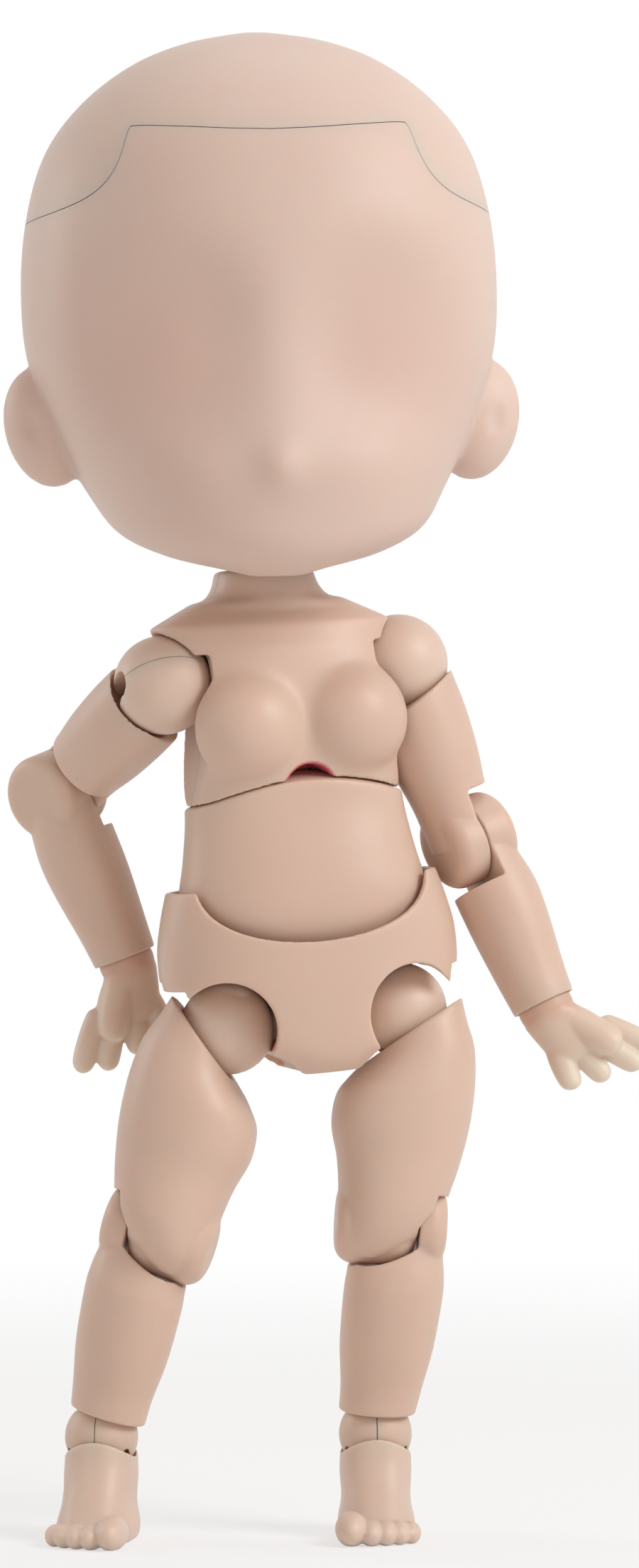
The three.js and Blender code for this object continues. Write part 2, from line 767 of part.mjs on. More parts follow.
// The palm leans towards the index finger, and all fingers fan out from its lower edge.
function hand() {
  const width = palmWidth / 2;
  const thick = palmThickness / 2;
  const wrist = wristWidth / 2;
  const lean = palmLength * 0.36;
  const palm = loft([
    [-0.9, wrist * 0.84, wrist * 0.8, wrist * 0.8],
    [-1.7, wrist * 0.96, thick * 1.25, thick * 1.25, lean * 0.15],
    [-palmLength * 0.6, width * 0.94, thick * 1.1, thick * 1.05, lean * 0.6],
    [-palmLength, width, thick, thick, lean],
    [-palmLength - 0.9, width * 0.8, thick * 0.6, thick * 0.7, lean * 1.1],
  ], { rings: 4, sides: 10, power: 2.5 });
  const fingers = [0, 1, 2, 3].map((index) => {
    const offset = width * (0.78 - 0.52 * index);
    const root = [lean + offset, 0, -palmLength + 0.6];
    const length = fingerLength * [0.93, 1.04, 0.98, 0.8][index] + 0.6;
    return finger(length, fingerRadius, root, -[34, 24, 14, 3][index], 0.1 + 0.04 * index);
  });
  const thumb = finger(fingerLength * 0.95, fingerRadius * 1.2, [width * 0.75, -thick * 0.8, -palmLength * 0.45], -26, 0.22);
  const room = upturned(tongueRoom(wristTongue, 'x', -30, 30, 4));
  return cut(join(sphere(wristBallRadius), palm, ...fingers, thumb), room);
}

function thigh() {
  const width = thighWidth / 2;
  const knee = kneeWidth / 2;
  const length = thighLength;
  const body = loft([
    [1.4, width * 0.4, width * 0.55, width * 0.62, 3.1],
    [-0.4, width * 0.7, width * 0.76, width * 0.84, 2.2],
    [-length * 0.22, width * 0.95, width * 0.88, width * 0.98, 1.1],
    [-length * 0.45, width, width, width * 1.02, 0.8],
    [-length * 0.72, width * 0.88, width * 0.9, width * 0.92, 0.4],
    [-length * 0.9, knee * 0.98, knee * 1.06, knee * 0.98, 0],
    [-length, knee * 0.96, knee * 1.02, knee * 0.86, 0],
  ], { rings: 6, sides: 14, power: 2.1 });
  const slope = new THREE.BoxGeometry(40, 40, 20).translate(0, 0, 10);
  slope.rotateY(THREE.MathUtils.degToRad(-thighTopSlope)).translate(0, 0, -thighTopDrop);
  const limb = lapEnd(
    moved(cut(body, toSolid(slope)), 0, 0, length), kneeRadius, knee, -1, 1, kneeLapOffset, 1.5, kneeRadius + runningClearance);
  const cup = sphere(hipBallRadius + runningClearance);
  const bore = rod(stemRadius + runningClearance, 0, -hipStem - runningClearance, 'z', 8);
  return cut(moved(cut(limb, pinHole(knee)), 0, 0, -length), cup, bore);
}

function calf() {
  const knee = kneeWidth / 2;
  const widest = calfWidth / 2;
  const end = calfEndWidth / 2;
  const bottom = -(calfLength - 2.1);
  const body = loft([
    [0, knee * 0.9, kneeRadius * 0.92, kneeRadius * 0.92, 0.4],
    [-kneeRadius * 0.9, knee * 0.96, widest * 0.92, widest * 0.98, 0.6],
    [-kneeRadius * 1.6, widest, widest * 0.98, widest * 1.08, 0.7],
    [bottom * 0.64, widest * 0.93, widest * 0.92, widest, 0.5],
    [bottom * 0.86, end * 1.07, end * 1.03, end * 1.08, 0.25],
    [bottom, end, end, end],
  ], { rings: 6, sides: 12, power: 2.15 });
  const limb = lapEnd(body, kneeRadius, knee + 0.4, 1, -1, kneeLapOffset, 1.3);
  const cup = moved(sphere(ankleBallRadius + runningClearance), 0, 0, -calfLength);
  const bore = rod(stemRadius + runningClearance, -calfLength, -calfLength + 7.6, 'z', 8);
  return cut(limb, pinHole(knee), cup, bore);
}

function anklePost() {
  const disc = rod(ankleTongue, -0.5, 0.5, 'y', 12);
  return join(disc, rod(stemRadius * 0.78, 0.5, 3, 'z', 8), rod(stemRadius, 2.9, 7.2, 'z', 8));
}

function ankleBallHalves() {
  const postRoom = join(
    rod(ankleTongue + runningClearance, -0.5 - runningClearance, 0.5 + runningClearance, 'y', 12),
    toSolid(toGeometry(fan(stemRadius * 0.78 + runningClearance, 2 * (0.5 + runningClearance) + 0.4, 6, -24, 24, 'y')).rotateX(Math.PI)),
  );
  const forkRooms = [-1, 1].map((side) => {
    const width = forkThickness + 2 * runningClearance;
    const disc = rod(ankleTongue + runningClearance, -width / 2, width / 2, 'x', 12);
    const slot = fan(ankleTongue * 0.8 + runningClearance, width, 6, -28, 28, 'x');
    return toSolid(toGeometry(join(disc, slot)).translate(side * (forkReach + forkThickness / 2), 0, 0));
  });
  return splitBall(cut(sphere(ankleBallRadius), postRoom, ...forkRooms), 'x');
}

// The fork that holds the ankle ball on the foot.
function footHinge() {
  const prongs = [-1, 1].map((side) => {
    const x = side * (forkReach + forkThickness / 2);
    const eye = toGeometry(rod(ankleTongue, -forkThickness / 2, forkThickness / 2, 'x', 12)).translate(x, 0, 0);
    const leg = block([forkThickness, ankleTongue * 1.6, 4.6], [x, 0, -2.3]);
    return join(toSolid(eye), leg);
  });
  const base = 2 * (forkReach + forkThickness);
  return join(...prongs, block([base, ankleTongue * 1.6, 1.2], [0, 0, -5]), rod(stemRadius, -5.2, -7.6, 'z', 8));
}

function foot() {
  const wide = footWidth / 2;
  const toe = footLength - heelLength;
  const sole = -ankleHeight;
  const body = loft([
    [sole, wide * 0.88, toe * 0.78, heelLength * 0.88],
    [sole + 0.5, wide * 0.97, toe * 0.84, heelLength * 0.97],
    [sole + 2, wide, toe * 0.82, heelLength],
    [sole + 4.4, wide * 0.97, toe * 0.62, heelLength * 0.96],
    [sole + 6.8, wide * 0.92, toe * 0.42, heelLength * 0.9],
    [-1.2, wide * 0.8, toe * 0.31, heelLength * 0.84],
  ], { rings: 4, sides: 12, power: 2.35 });
  const toes = [0, 1, 2, 3, 4].map((index) => {
    const fat = toeRadius * [1.16, 0.86, 0.82, 0.78, 0.74][index];
    const x = -wide + [1.55, 3.5, 5.0, 6.3, 7.35][index] * (footWidth / 8.9);
    const y = -toe + fat + [0, 0.35, 0.8, 1.5, 2.4][index];
    return sphere(fat, [x, y, sole + fat * 0.9], [1, 1.25, 0.96], 6, 4);
  });
  const flat = half('z', 1, sole);
  const cup = sphere(ankleBallRadius + runningClearance);
  const widthRoom = 2 * (forkReach + forkThickness) + 2 * runningClearance;
  const seat = block([widthRoom, ankleTongue * 1.6 + 2 * runningClearance, 4.4], [0, 0, -3.7]);
  const bore = rod(stemRadius + runningClearance, -5, -7.9, 'z', 8);
  return cut(common(join(body, ...toes), flat), cup, seat, bore);
}

// Frames: each hangs its pieces from a joint, with x on the hinge axis and -z along the limb.

const root = new THREE.Group();

function direction({ lean, forward }) {
  const [a, b] = [lean, forward].map(THREE.MathUtils.degToRad);
  return new THREE.Vector3(-Math.sin(a) * Math.cos(b), -Math.sin(b), -Math.cos(a) * Math.cos(b));
}

function frame(name, origin, xAxis, zAxis, parent) {
  const y = new THREE.Vector3().crossVectors(zAxis, xAxis).normalize();
  const x = new THREE.Vector3().crossVectors(y, zAxis).normalize();
  const group = new THREE.Group();
  group.name = name;
  const matrix = new THREE.Matrix4().makeBasis(x, y, zAxis.clone().normalize()).setPosition(origin);
  group.applyMatrix4(matrix);
  root.add(group);
  root.updateMatrixWorld(true);
  if (parent) parent.attach(group);
  return group;
}

function axisOf(group, index) {
  return new THREE.Vector3().setFromMatrixColumn(group.matrixWorld, index);
}

function pointOf(group, x = 0, y = 0, z = 0) {
  root.updateMatrixWorld(true);
  return group.localToWorld(new THREE.Vector3(x, y, z));
}

function add(group, name, solid, colour, side = 1) {
  const geometry = side > 0 ? toGeometry(solid) : mirrored(toGeometry(solid));
  geometry.computeVertexNormals();
  const material = new THREE.MeshStandardMaterial({ color: colour, ...smoothPlastic });
  const mesh = new THREE.Mesh(geometry, material);
  mesh.name = name;
  group.add(mesh);
}

const shared = {
  shoulderBall: swingBall(shoulderBallRadius, -10, 100),
  shoulderHinge: limbStem(shoulderStem),
  upperArm: upperArm(),
  elbowPin: hingePin(elbowWidth / 2),
  forearm: forearm(),
  wristJoint: wristJoint(),
  hand: hand(),
  hipBall: swingBall(hipBallRadius, -40, 50),
  hipHinge: limbStem(hipStem),
  thigh: thigh(),
  kneePin: hingePin(kneeWidth / 2),
  calf: calf(),
  anklePost: anklePost(),
  ankleBall: ankleBallHalves(),
  footHinge: footHinge(),
  foot: foot(),
};

// The pelvis stands on the two legs: each leg's drop sets the height of its hip.
const legDrop = (thighPose, calfPose) =>
  -thighLength * direction(thighPose).z - calfLength * direction(calfPose).z + ankleHeight;
const rightHipHeight = legDrop(rightThigh, rightCalf);
const leftHipHeight = legDrop(leftThigh, leftCalf);
const pelvisRoll = Math.asin((leftHipHeight - rightHipHeight) / hipSpacing);
const pelvisTurn = THREE.MathUtils.degToRad(pelvisYaw);
const pelvisAcross = new THREE.Vector3(
  Math.cos(pelvisTurn) * Math.cos(pelvisRoll),
  Math.sin(pelvisTurn) * Math.cos(pelvisRoll),
  Math.sin(pelvisRoll),
);
const pelvisUp = new THREE.Vector3(0, 0, 1).addScaledVector(pelvisAcross, -pelvisAcross.z).normalize();
const pelvisOrigin = new THREE.Vector3(pelvisX, 0, (rightHipHeight + leftHipHeight) / 2);
const pelvis = frame('pelvis', pelvisOrigin, pelvisAcross, pelvisUp, null);

const [pelvisFrontSolid, pelvisBackSolid] = pelvisPieces();
add(pelvis, 'pelvis_front', pelvisFrontSolid, bodyColour);
add(pelvis, 'pelvis_back', pelvisBackSolid, bodyColour);

// Trunk and head
const torsoUp = direction({ lean: torsoLean, forward: 0 }).negate();
const torsoTurn = THREE.MathUtils.degToRad(chestYaw);
const chestAcross = new THREE.Vector3(Math.cos(torsoTurn), Math.sin(torsoTurn), 0);
const linkFoot = pointOf(pelvis, 0, 0, waistLinkLow);
const link = frame('waist_link', linkFoot, axisOf(pelvis, 0), torsoUp, pelvis);
add(link, 'waist_link', waistLink(), innerColour);
const abdomenOrigin = pointOf(link, 0, 0, waistHeight - waistLinkLow);
const abdomen = frame('abdomen', abdomenOrigin, axisOf(link, 0), torsoUp, link);
const [abdomenFrontSolid, abdomenBackSolid] = abdomenPieces();
add(abdomen, 'abdomen_front', abdomenFrontSolid, bodyColour);
add(abdomen, 'abdomen_back', abdomenBackSolid, bodyColour);
const chest = frame('chest', pointOf(abdomen, 0, 0, abdomenLength), chestAcross, torsoUp, abdomen);
const [chestFrontSolid, chestBackSolid] = chestPieces();
add(chest, 'chest_front', chestFrontSolid, bodyColour);
add(chest, 'chest_back', chestBackSolid, bodyColour);
add(chest, 'waist_peg', waistPeg(), innerColour);

const headTurn = THREE.MathUtils.degToRad(headYaw);
const headAcross = new THREE.Vector3(Math.cos(headTurn), Math.sin(headTurn), 0);
const worldUp = new THREE.Vector3(0, 0, 1);
const headUp = direction({ lean: headTilt, forward: 0 }).negate();
const neckTop = pointOf(chest, 0, 0, neckHingeHeight + neckPostLength);
const neck = frame('neck', neckTop, axisOf(chest, 0), axisOf(chest, 2), chest);
add(neck, 'neck_post', neckPost(), innerColour);
const neckBall = frame('neck_ball', neckTop, axisOf(chest, 0), headUp, neck);
const [neckBallFront, neckBallBack] = neckBallHalves();
add(neckBall, 'neck_ball_front', neckBallFront, innerColour);
add(neckBall, 'neck_ball_back', neckBallBack, innerColour);
const head = frame('head', neckTop, headAcross, headUp, neckBall);
const headSolids = headPieces();
add(head, 'face_plate', headSolids.face, headColour);
add(head, 'crown_front_shell', headSolids.crown, headColour);
add(head, 'head_back_shell', headSolids.back, headColour);
add(head, 'head_socket', headSocket(), innerColour);

// Limbs

// Hangs a ball on the body, a hinge in the ball and a limb on the hinge.
function ballLimb(label, body, side, spacing, height, pose, hingeAxis) {
  const limb = direction(pose);
  const across = axisOf(body, 0);
  const origin = pointOf(body, (side * spacing) / 2, 0, height);
  const alongLimb = limb.clone().addScaledVector(across, -limb.dot(across)).negate();
  const ballGroup = frame(`${label}_ball`, origin, across, alongLimb.normalize(), body);
  const ballY = axisOf(ballGroup, 1);
  const up = limb.clone().negate();
  const hingeX = new THREE.Vector3().crossVectors(ballY, up);
  const hingeGroup = frame(`${label}_hinge`, origin, hingeX, up, ballGroup);
  const limbGroup = frame(`${label}_limb`, origin, hingeAxis, up, hingeGroup);
  return { ballGroup, hingeGroup, limbGroup };
}

function arm(name, side, upperPose, lowerPose, wristTurn, wristBend) {
  const elbowAxis = new THREE.Vector3().crossVectors(direction(lowerPose), direction(upperPose)).normalize();
  const { ballGroup, hingeGroup, limbGroup } = ballLimb(
    `${name}_shoulder`, chest, side, shoulderSpacing, shoulderHeight, upperPose, elbowAxis);
  add(ballGroup, `${name}_shoulder_ball_front`, shared.shoulderBall[0], bodyColour, side);
  add(ballGroup, `${name}_shoulder_ball_back`, shared.shoulderBall[1], bodyColour, side);
  add(hingeGroup, `${name}_shoulder_hinge`, shared.shoulderHinge, innerColour, side);
  add(limbGroup, `${name}_upper_arm`, shared.upperArm, bodyColour, side);
  const elbow = frame(`${name}_elbow`, pointOf(limbGroup, 0, 0, -upperArmLength), elbowAxis,
    axisOf(limbGroup, 2), limbGroup);
  add(elbow, `${name}_elbow_pin`, shared.elbowPin, innerColour, side);
  const lower = frame(`${name}_forearm`, pointOf(limbGroup, 0, 0, -upperArmLength), elbowAxis,
    direction(lowerPose).negate(), limbGroup);
  add(lower, `${name}_forearm`, shared.forearm, bodyColour, side);
  const wristPoint = pointOf(lower, 0, 0, -forearmLength);
  const turn = THREE.MathUtils.degToRad(wristTurn);
  const wristX = axisOf(lower, 0).multiplyScalar(Math.cos(turn)).addScaledVector(axisOf(lower, 1), Math.sin(turn));
  const wrist = frame(`${name}_wrist`, wristPoint, wristX, axisOf(lower, 2), lower);
  add(wrist, `${name}_wrist_joint`, shared.wristJoint, innerColour, side);
  const bend = THREE.MathUtils.degToRad(wristBend);
  const handUp = axisOf(wrist, 2).multiplyScalar(Math.cos(bend)).addScaledVector(axisOf(wrist, 1), Math.sin(bend));
  const palm = frame(`${name}_hand`, wristPoint, wristX, handUp, wrist);
  add(palm, `${name}_hand`, shared.hand, handColour, side);
}

function leg(name, side, upperPose, lowerPose, footYaw) {
  const kneeAxis = new THREE.Vector3().crossVectors(direction(upperPose), direction(lowerPose)).normalize();
  const { ballGroup, hingeGroup, limbGroup } = ballLimb(
    `${name}_hip`, pelvis, side, hipSpacing, 0, upperPose, kneeAxis);
  add(ballGroup, `${name}_hip_ball_front`, shared.hipBall[0], bodyColour, side);
  add(ballGroup, `${name}_hip_ball_back`, shared.hipBall[1], bodyColour, side);
  add(hingeGroup, `${name}_hip_hinge`, shared.hipHinge, innerColour, side);
  add(limbGroup, `${name}_thigh`, shared.thigh, bodyColour, side);
  const kneePoint = pointOf(limbGroup, 0, 0, -thighLength);
  const knee = frame(`${name}_knee`, kneePoint, kneeAxis, axisOf(limbGroup, 2), limbGroup);
  add(knee, `${name}_knee_pin`, shared.kneePin, innerColour, side);
  const lower = frame(`${name}_calf`, kneePoint, kneeAxis, direction(lowerPose).negate(), limbGroup);
  add(lower, `${name}_calf`, shared.calf, bodyColour, side);
  const anklePoint = pointOf(lower, 0, 0, -calfLength);
  const yaw = THREE.MathUtils.degToRad(footYaw);
  const footX = new THREE.Vector3(Math.cos(yaw), Math.sin(yaw), 0);
  const post = frame(`${name}_ankle_post`, anklePoint, footX, axisOf(lower, 2), lower);
  add(post, `${name}_ankle_post`, shared.anklePost, innerColour, side);
  const ballUp = new THREE.Vector3().crossVectors(footX, axisOf(post, 1));
  const ballGroup2 = frame(`${name}_ankle_ball`, anklePoint, footX, ballUp, post);
  add(ballGroup2, `${name}_ankle_ball_inner`, shared.ankleBall[0], bodyColour, side);
  add(ballGroup2, `${name}_ankle_ball_outer`, shared.ankleBall[1], bodyColour, side);
  const sole = frame(`${name}_foot`, anklePoint, footX, worldUp, ballGroup2);
  add(sole, `${name}_foot_hinge`, shared.footHinge, innerColour, side);
  add(sole, `${name}_foot`, shared.foot, bodyColour, side);
}

arm('right', -1, rightUpperArm, rightForearm, -40, 0);
arm('left', 1, leftUpperArm, leftForearm, -20, 0);
leg('right', -1, rightThigh, rightCalf, rightFootYaw);
leg('left', 1, leftThigh, leftCalf, leftFootYaw);

// The origin is on the ground, below the middle of the whole doll.
root.updateMatrixWorld(true);
const bounds = new THREE.Box3().setFromObject(root, true);
root.position.set(-(bounds.min.x + bounds.max.x) / 2, -(bounds.min.y + bounds.max.y) / 2, -bounds.min.z);
root.updateMatrixWorld(true);

export default root;
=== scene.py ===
import json
import math

import bmesh
import bpy
from mathutils import Matrix, Vector


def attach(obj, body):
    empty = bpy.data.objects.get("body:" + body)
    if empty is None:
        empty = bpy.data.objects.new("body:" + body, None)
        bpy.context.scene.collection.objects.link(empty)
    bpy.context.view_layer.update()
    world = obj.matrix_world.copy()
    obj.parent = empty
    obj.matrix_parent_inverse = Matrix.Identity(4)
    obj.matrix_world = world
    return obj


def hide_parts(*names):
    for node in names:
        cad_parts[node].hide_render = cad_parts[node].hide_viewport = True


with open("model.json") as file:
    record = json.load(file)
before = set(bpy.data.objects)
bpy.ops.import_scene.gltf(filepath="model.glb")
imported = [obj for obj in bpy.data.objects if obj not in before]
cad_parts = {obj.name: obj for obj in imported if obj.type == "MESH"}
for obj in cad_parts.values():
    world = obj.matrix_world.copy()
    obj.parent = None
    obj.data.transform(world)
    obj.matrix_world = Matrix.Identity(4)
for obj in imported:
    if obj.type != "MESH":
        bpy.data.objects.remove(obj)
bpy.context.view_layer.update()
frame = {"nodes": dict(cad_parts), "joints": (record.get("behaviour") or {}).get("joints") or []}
scene = bpy.context.scene
joints = {j["name"]: j for j in frame["joints"]}

# Every piece is drawn in millimetres in the frame of its own joint, for the left side of the doll.
# x runs along the hinge, z up the limb towards the body, and -y is the front.
sides = {"left": 1, "right": -1}


def pointOf(joint):
    return Vector(joints[joint]["pos_m"])


def axisOf(joint, sign=1):
    return Vector(joints[joint]["axis"]) * sign


def basis(origin, x, z):
    y = z.cross(x).normalized()
    x = y.cross(z).normalized()
    matrix = Matrix((x, y, z.normalized())).transposed().to_4x4()
    matrix.translation = origin
    return matrix


headPose = {"yaw": 5.0}
# The joint at the origin of a piece, the one whose axis is its x, and the one whose axis is its z.
limbJoints = {
    "upper_arm": ("shoulder_swing", "elbow_bend", "upper_arm_turn"),
    "forearm": ("elbow_bend", "elbow_bend", "wrist_turn"),
    "hand": ("wrist_bend", "wrist_bend", "wrist_turn"),
    "thigh": ("hip_swing", "knee_bend", "thigh_turn"),
    "calf": ("knee_bend", "knee_bend", "ankle_turn"),
}


# The frame of each piece that is drawn, from the points and axes of the joints it hangs on.
def findFrames():
    up = Vector((0, 0, 1))
    found = {}
    chestUp = axisOf("chest_turn")
    across = axisOf("left_hip_swing", -1)
    hips = (pointOf("left_hip_swing") + pointOf("right_hip_swing")) / 2
    found["pelvis"] = basis(hips, across, up - across * across.z)
    found["chest"] = basis(pointOf("chest_turn"), axisOf("neck_nod"), chestUp)
    found["abdomen"] = basis(pointOf("chest_turn") - chestUp * 0.012, axisOf("waist_bend"), chestUp)
    yaw = math.radians(headPose["yaw"])
    found["head"] = basis(pointOf("head_turn"), Vector((math.cos(yaw), math.sin(yaw), 0)), axisOf("head_turn"))
    for side, s in sides.items():
        for joint, lift in (("shoulder", "lift"), ("hip", "spread")):
            x = axisOf(f"{side}_{joint}_swing", -1)
            y = axisOf(f"{side}_{joint}_{lift}", -s)
            found[f"{side}_{joint}"] = basis(pointOf(f"{side}_{joint}_swing"), x, x.cross(y))
        for piece, (origin, across, along) in limbJoints.items():
            found[f"{side}_{piece}"] = basis(
                pointOf(f"{side}_{origin}"), axisOf(f"{side}_{across}"), axisOf(f"{side}_{along}", s))
        x = axisOf(f"{side}_ankle_pitch")
        found[f"{side}_ankle"] = basis(pointOf(f"{side}_ankle_roll"), x, x.cross(axisOf(f"{side}_ankle_roll", -s)))
        found[f"{side}_foot"] = basis(pointOf(f"{side}_ankle_pitch"), x, up)
    return found


frames = findFrames()

# Modelling tools: shapes start from bmesh operators, are cut with booleans while they are light,
# and are then remeshed finely and smoothed, which rounds their edges as a mould does.


def asObject(bm, name):
    mesh = bpy.data.meshes.new(name)
    bm.to_mesh(mesh)
    bm.free()
    obj = bpy.data.objects.new(name, mesh)
    scene.collection.objects.link(obj)
    return obj


def solid(bm, name="solid"):
    bmesh.ops.recalc_face_normals(bm, faces=bm.faces)
    return asObject(bm, name)


def discard(obj):
    mesh = obj.data
    bpy.data.objects.remove(obj)
    bpy.data.meshes.remove(mesh)


def applyModifiers(obj):
    depsgraph = bpy.context.evaluated_depsgraph_get()
    mesh = bpy.data.meshes.new_from_object(obj.evaluated_get(depsgraph))
    old = obj.data
    obj.modifiers.clear()
    obj.data = mesh
    bpy.data.meshes.remove(old)
    return obj


def carve(target, *tools, operation="DIFFERENCE", solver="EXACT"):
    for tool in tools:
        boolean = target.modifiers.new("carve", "BOOLEAN")
        boolean.operation = operation
        boolean.solver = solver
        boolean.object = tool
    applyModifiers(target)
    for tool in tools:
        discard(tool)
    return target


def joined(target, tool):
    return carve(target, tool, operation="UNION")


# The manifold solver keeps fine seams crisp.
def crisply(target, *tools, operation="DIFFERENCE"):
    return carve(target, *tools, operation=operation, solver="MANIFOLD")


def duplicate(obj):
    copy = bpy.data.objects.new(obj.name, obj.data.copy())
    scene.collection.objects.link(copy)
    return copy


def gather(*objects):
    bm = bmesh.new()
    for obj in objects:
        bm.from_mesh(obj.data)
        discard(obj)
    return asObject(bm, "gathered")


def remeshed(obj, voxel, passes=0, factor=0.5):
    remesh = obj.modifiers.new("remesh", "REMESH")
    remesh.mode = "VOXEL"
    remesh.voxel_size = voxel
    if passes:
        smooth = obj.modifiers.new("smooth", "SMOOTH")
        smooth.factor = factor
        smooth.iterations = passes
    return applyModifiers(obj)


# Smooths only where share(point) is over 0, as when a form is melted into its neighbour.
def melted(obj, passes, share, factor=0.6):
    group = obj.vertex_groups.new(name="melt")
    for v in obj.data.vertices:
        weight = share(v.co)
        if weight > 0:
            group.add([v.index], min(weight, 1), "REPLACE")
    smooth = obj.modifiers.new("smooth", "SMOOTH")
    smooth.factor = factor
    smooth.iterations = passes
    smooth.vertex_group = "melt"
    applyModifiers(obj)
    obj.vertex_groups.clear()
    return obj


def catmull(rows, t, straight=False):
    index = min(int(t), len(rows) - 2)
    u = t - index
    if straight:
        return [p + u * (q - p) for p, q in zip(rows[index], rows[index + 1])]
    a, b = rows[max(index - 1, 0)], rows[index]
    c, d = rows[index + 1], rows[min(index + 2, len(rows) - 1)]
    out = []
    for p, q, r, s in zip(a, b, c, d):
        m, n = (r - p) / 2, (s - q) / 2
        out.append(q + u * (m + u * (3 * (r - q) - 2 * m - n + u * (2 * (q - r) + m + n))))
    return out


# Rows are height, half width, front depth, back depth, and the middle's x and y where they aren't 0.
def loft(rows, segments=56, rings=40, power=2.2, straight=False):
    full = sorted([list(row) + [0] * (6 - len(row)) for row in rows])
    bm = bmesh.new()
    bmesh.ops.create_cone(bm, cap_ends=True, segments=segments, radius1=1, radius2=1, depth=1)
    upright = [e for e in bm.edges if abs(e.verts[0].co.z - e.verts[1].co.z) > 0.5]
    bmesh.ops.subdivide_edges(bm, edges=upright, cuts=rings - 1)
    for v in bm.verts:
        z, wide, front, back, x, y = catmull(full, (v.co.z + 0.5) * (len(full) - 1), straight)
        c, s = (math.copysign(abs(k) ** (2 / power), k) for k in (v.co.x, v.co.y))
        v.co = (x + wide * c, y + (front if s < 0 else back) * s, z)
    return solid(bm)


# Rows whose half widths and depths are given as shares of the full ones.
def inShares(wide, front, back, rows):
    return [(z, wide * w, front * f, back * b, *rest) for z, w, f, b, *rest in rows]


def ellipsoid(centre, radii, segments=40):
    bm = bmesh.new()
    matrix = Matrix.Translation(centre) @ Matrix.Diagonal((*radii, 1))
    bmesh.ops.create_uvsphere(bm, u_segments=segments, v_segments=segments // 2, radius=1, matrix=matrix)
    return solid(bm)


def ball(radius, centre=(0, 0, 0), segments=56):
    return ellipsoid(centre, (radius,) * 3, segments)


turns = {"x": Matrix.Rotation(math.pi / 2, 4, "Y"), "y": Matrix.Rotation(-math.pi / 2, 4, "X"), "z": Matrix()}


def rod(radius, start, end, axis="z", centre=(0, 0, 0), segments=40):
    bm = bmesh.new()
    middle = turns[axis] @ Matrix.Translation((0, 0, (start + end) / 2))
    bmesh.ops.create_cone(bm, cap_ends=True, segments=segments, radius1=radius, radius2=radius,
                          depth=abs(end - start), matrix=Matrix.Translation(centre) @ middle)
    return solid(bm)


def block(low, high):
    bm = bmesh.new()
    size = Vector(high) - Vector(low)
    matrix = Matrix.Translation((Vector(low) + Vector(high)) / 2) @ Matrix.Diagonal((*size, 1))
    bmesh.ops.create_cube(bm, size=1, matrix=matrix)
    return solid(bm)


# A half turn profile of points [radius, distance along the axis], spun into a closed solid.
def spun(profile, axis="z", segments=48):
    bm = bmesh.new()
    verts = [bm.verts.new((radius, 0, along)) for radius, along in profile]
    edges = [bm.edges.new(pair) for pair in zip(verts, verts[1:])]
    bmesh.ops.spin(bm, geom=verts + edges, cent=(0, 0, 0), axis=(0, 0, 1), angle=2 * math.pi,
                   steps=segments, use_merge=True)
    bmesh.ops.remove_doubles(bm, verts=bm.verts, dist=1e-5)
    bmesh.ops.transform(bm, matrix=turns[axis], verts=bm.verts)
    return solid(bm)


# A peg that is wider up to its neck, or the room for one.
def headedPeg(headRadius, radius, start, neck, end, axis):
    return spun([(0, start), (headRadius, start), (headRadius, neck), (radius, neck), (radius, end), (0, end)],
                axis, 40)


# Everything above a height.
def above(z, far=20):
    return block((-far, -far, z), (far, far, far))


def tilted(obj, degrees, axis="Y", shift=(0, 0, 0)):
    obj.data.transform(Matrix.Translation(shift) @ Matrix.Rotation(math.radians(degrees), 4, axis))
    return obj


def lifted(obj, z):
    obj.data.transform(Matrix.Translation((0, 0, z)))
    return obj


# Writes how much of a look each point takes, for the materials to read by name.
def painted(obj, name, share):
    layer = obj.data.attributes.new(name, "FLOAT", "POINT")
    for v in obj.data.vertices:
        layer.data[v.index].value = share(v.co)
    return obj


# The shape grown by a clearance and swept about x between two angles, as one solid.
def sweptRoom(obj, grow, fromAngle, toAngle, steps, voxel=0.3):
    for v in obj.data.vertices:
        v.co += v.normal * grow
    turned = [tilted(duplicate(obj), fromAngle + (toAngle - fromAngle) * i / steps, "X") for i in range(steps + 1)]
    discard(obj)
    return remeshed(gather(*turned), voxel, 2)


# The two halves of a piece on either side of a plane across x or y, with the seam's gap between them.
def clearanceHalves(obj, axis, gap, at=0.0):
    far = 60
    low = block((-far, -far, -far), (far, at + gap / 2, far) if axis == "y" else (at + gap / 2, far, far))
    high = block((-far, at - gap / 2, -far) if axis == "y" else (at - gap / 2, -far, -far), (far, far, far))
    other = duplicate(obj)
    return crisply(obj, high), crisply(other, low)


def splitAtSeam(obj, voxel, passes, axis="y"):
    return clearanceHalves(remeshed(obj, voxel, passes), axis, hinge["seam"])


def finished(obj, name, place, side, body, material, slot, *nodes):
    scale = 0.001
    obj.data.transform(frames[place] @ Matrix.Diagonal((side * scale, scale, scale, 1)))
    if side < 0:
        obj.data.flip_normals()
    obj.data.polygons.foreach_set("use_smooth", [True] * len(obj.data.polygons))
    obj.data.set_sharp_from_angle(angle=math.radians(48))
    obj.name = name
    obj.data.name = name
    obj.data.materials.clear()
    obj.data.materials.append(material)
    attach(obj, body)
    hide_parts(*nodes)
    return obj


# One drawn piece becomes the left and the right one.
def pair(obj, label, place, material, slot, body=None):
    other = duplicate(obj)
    for side, shape in (("left", obj), ("right", other)):
        finished(shape, f"{side}_{label}_shape", f"{side}_{place}", sides[side], f"{side}_{body or label}",
                 material, slot, f"{side}_{label}")


# Materials

# sRGB colours as read from such plastic, turned to linear.
def shade(red, green, blue):
    return tuple(((c / 255 + 0.055) / 1.055) ** 2.4 for c in (red, green, blue)) + (1.0,)


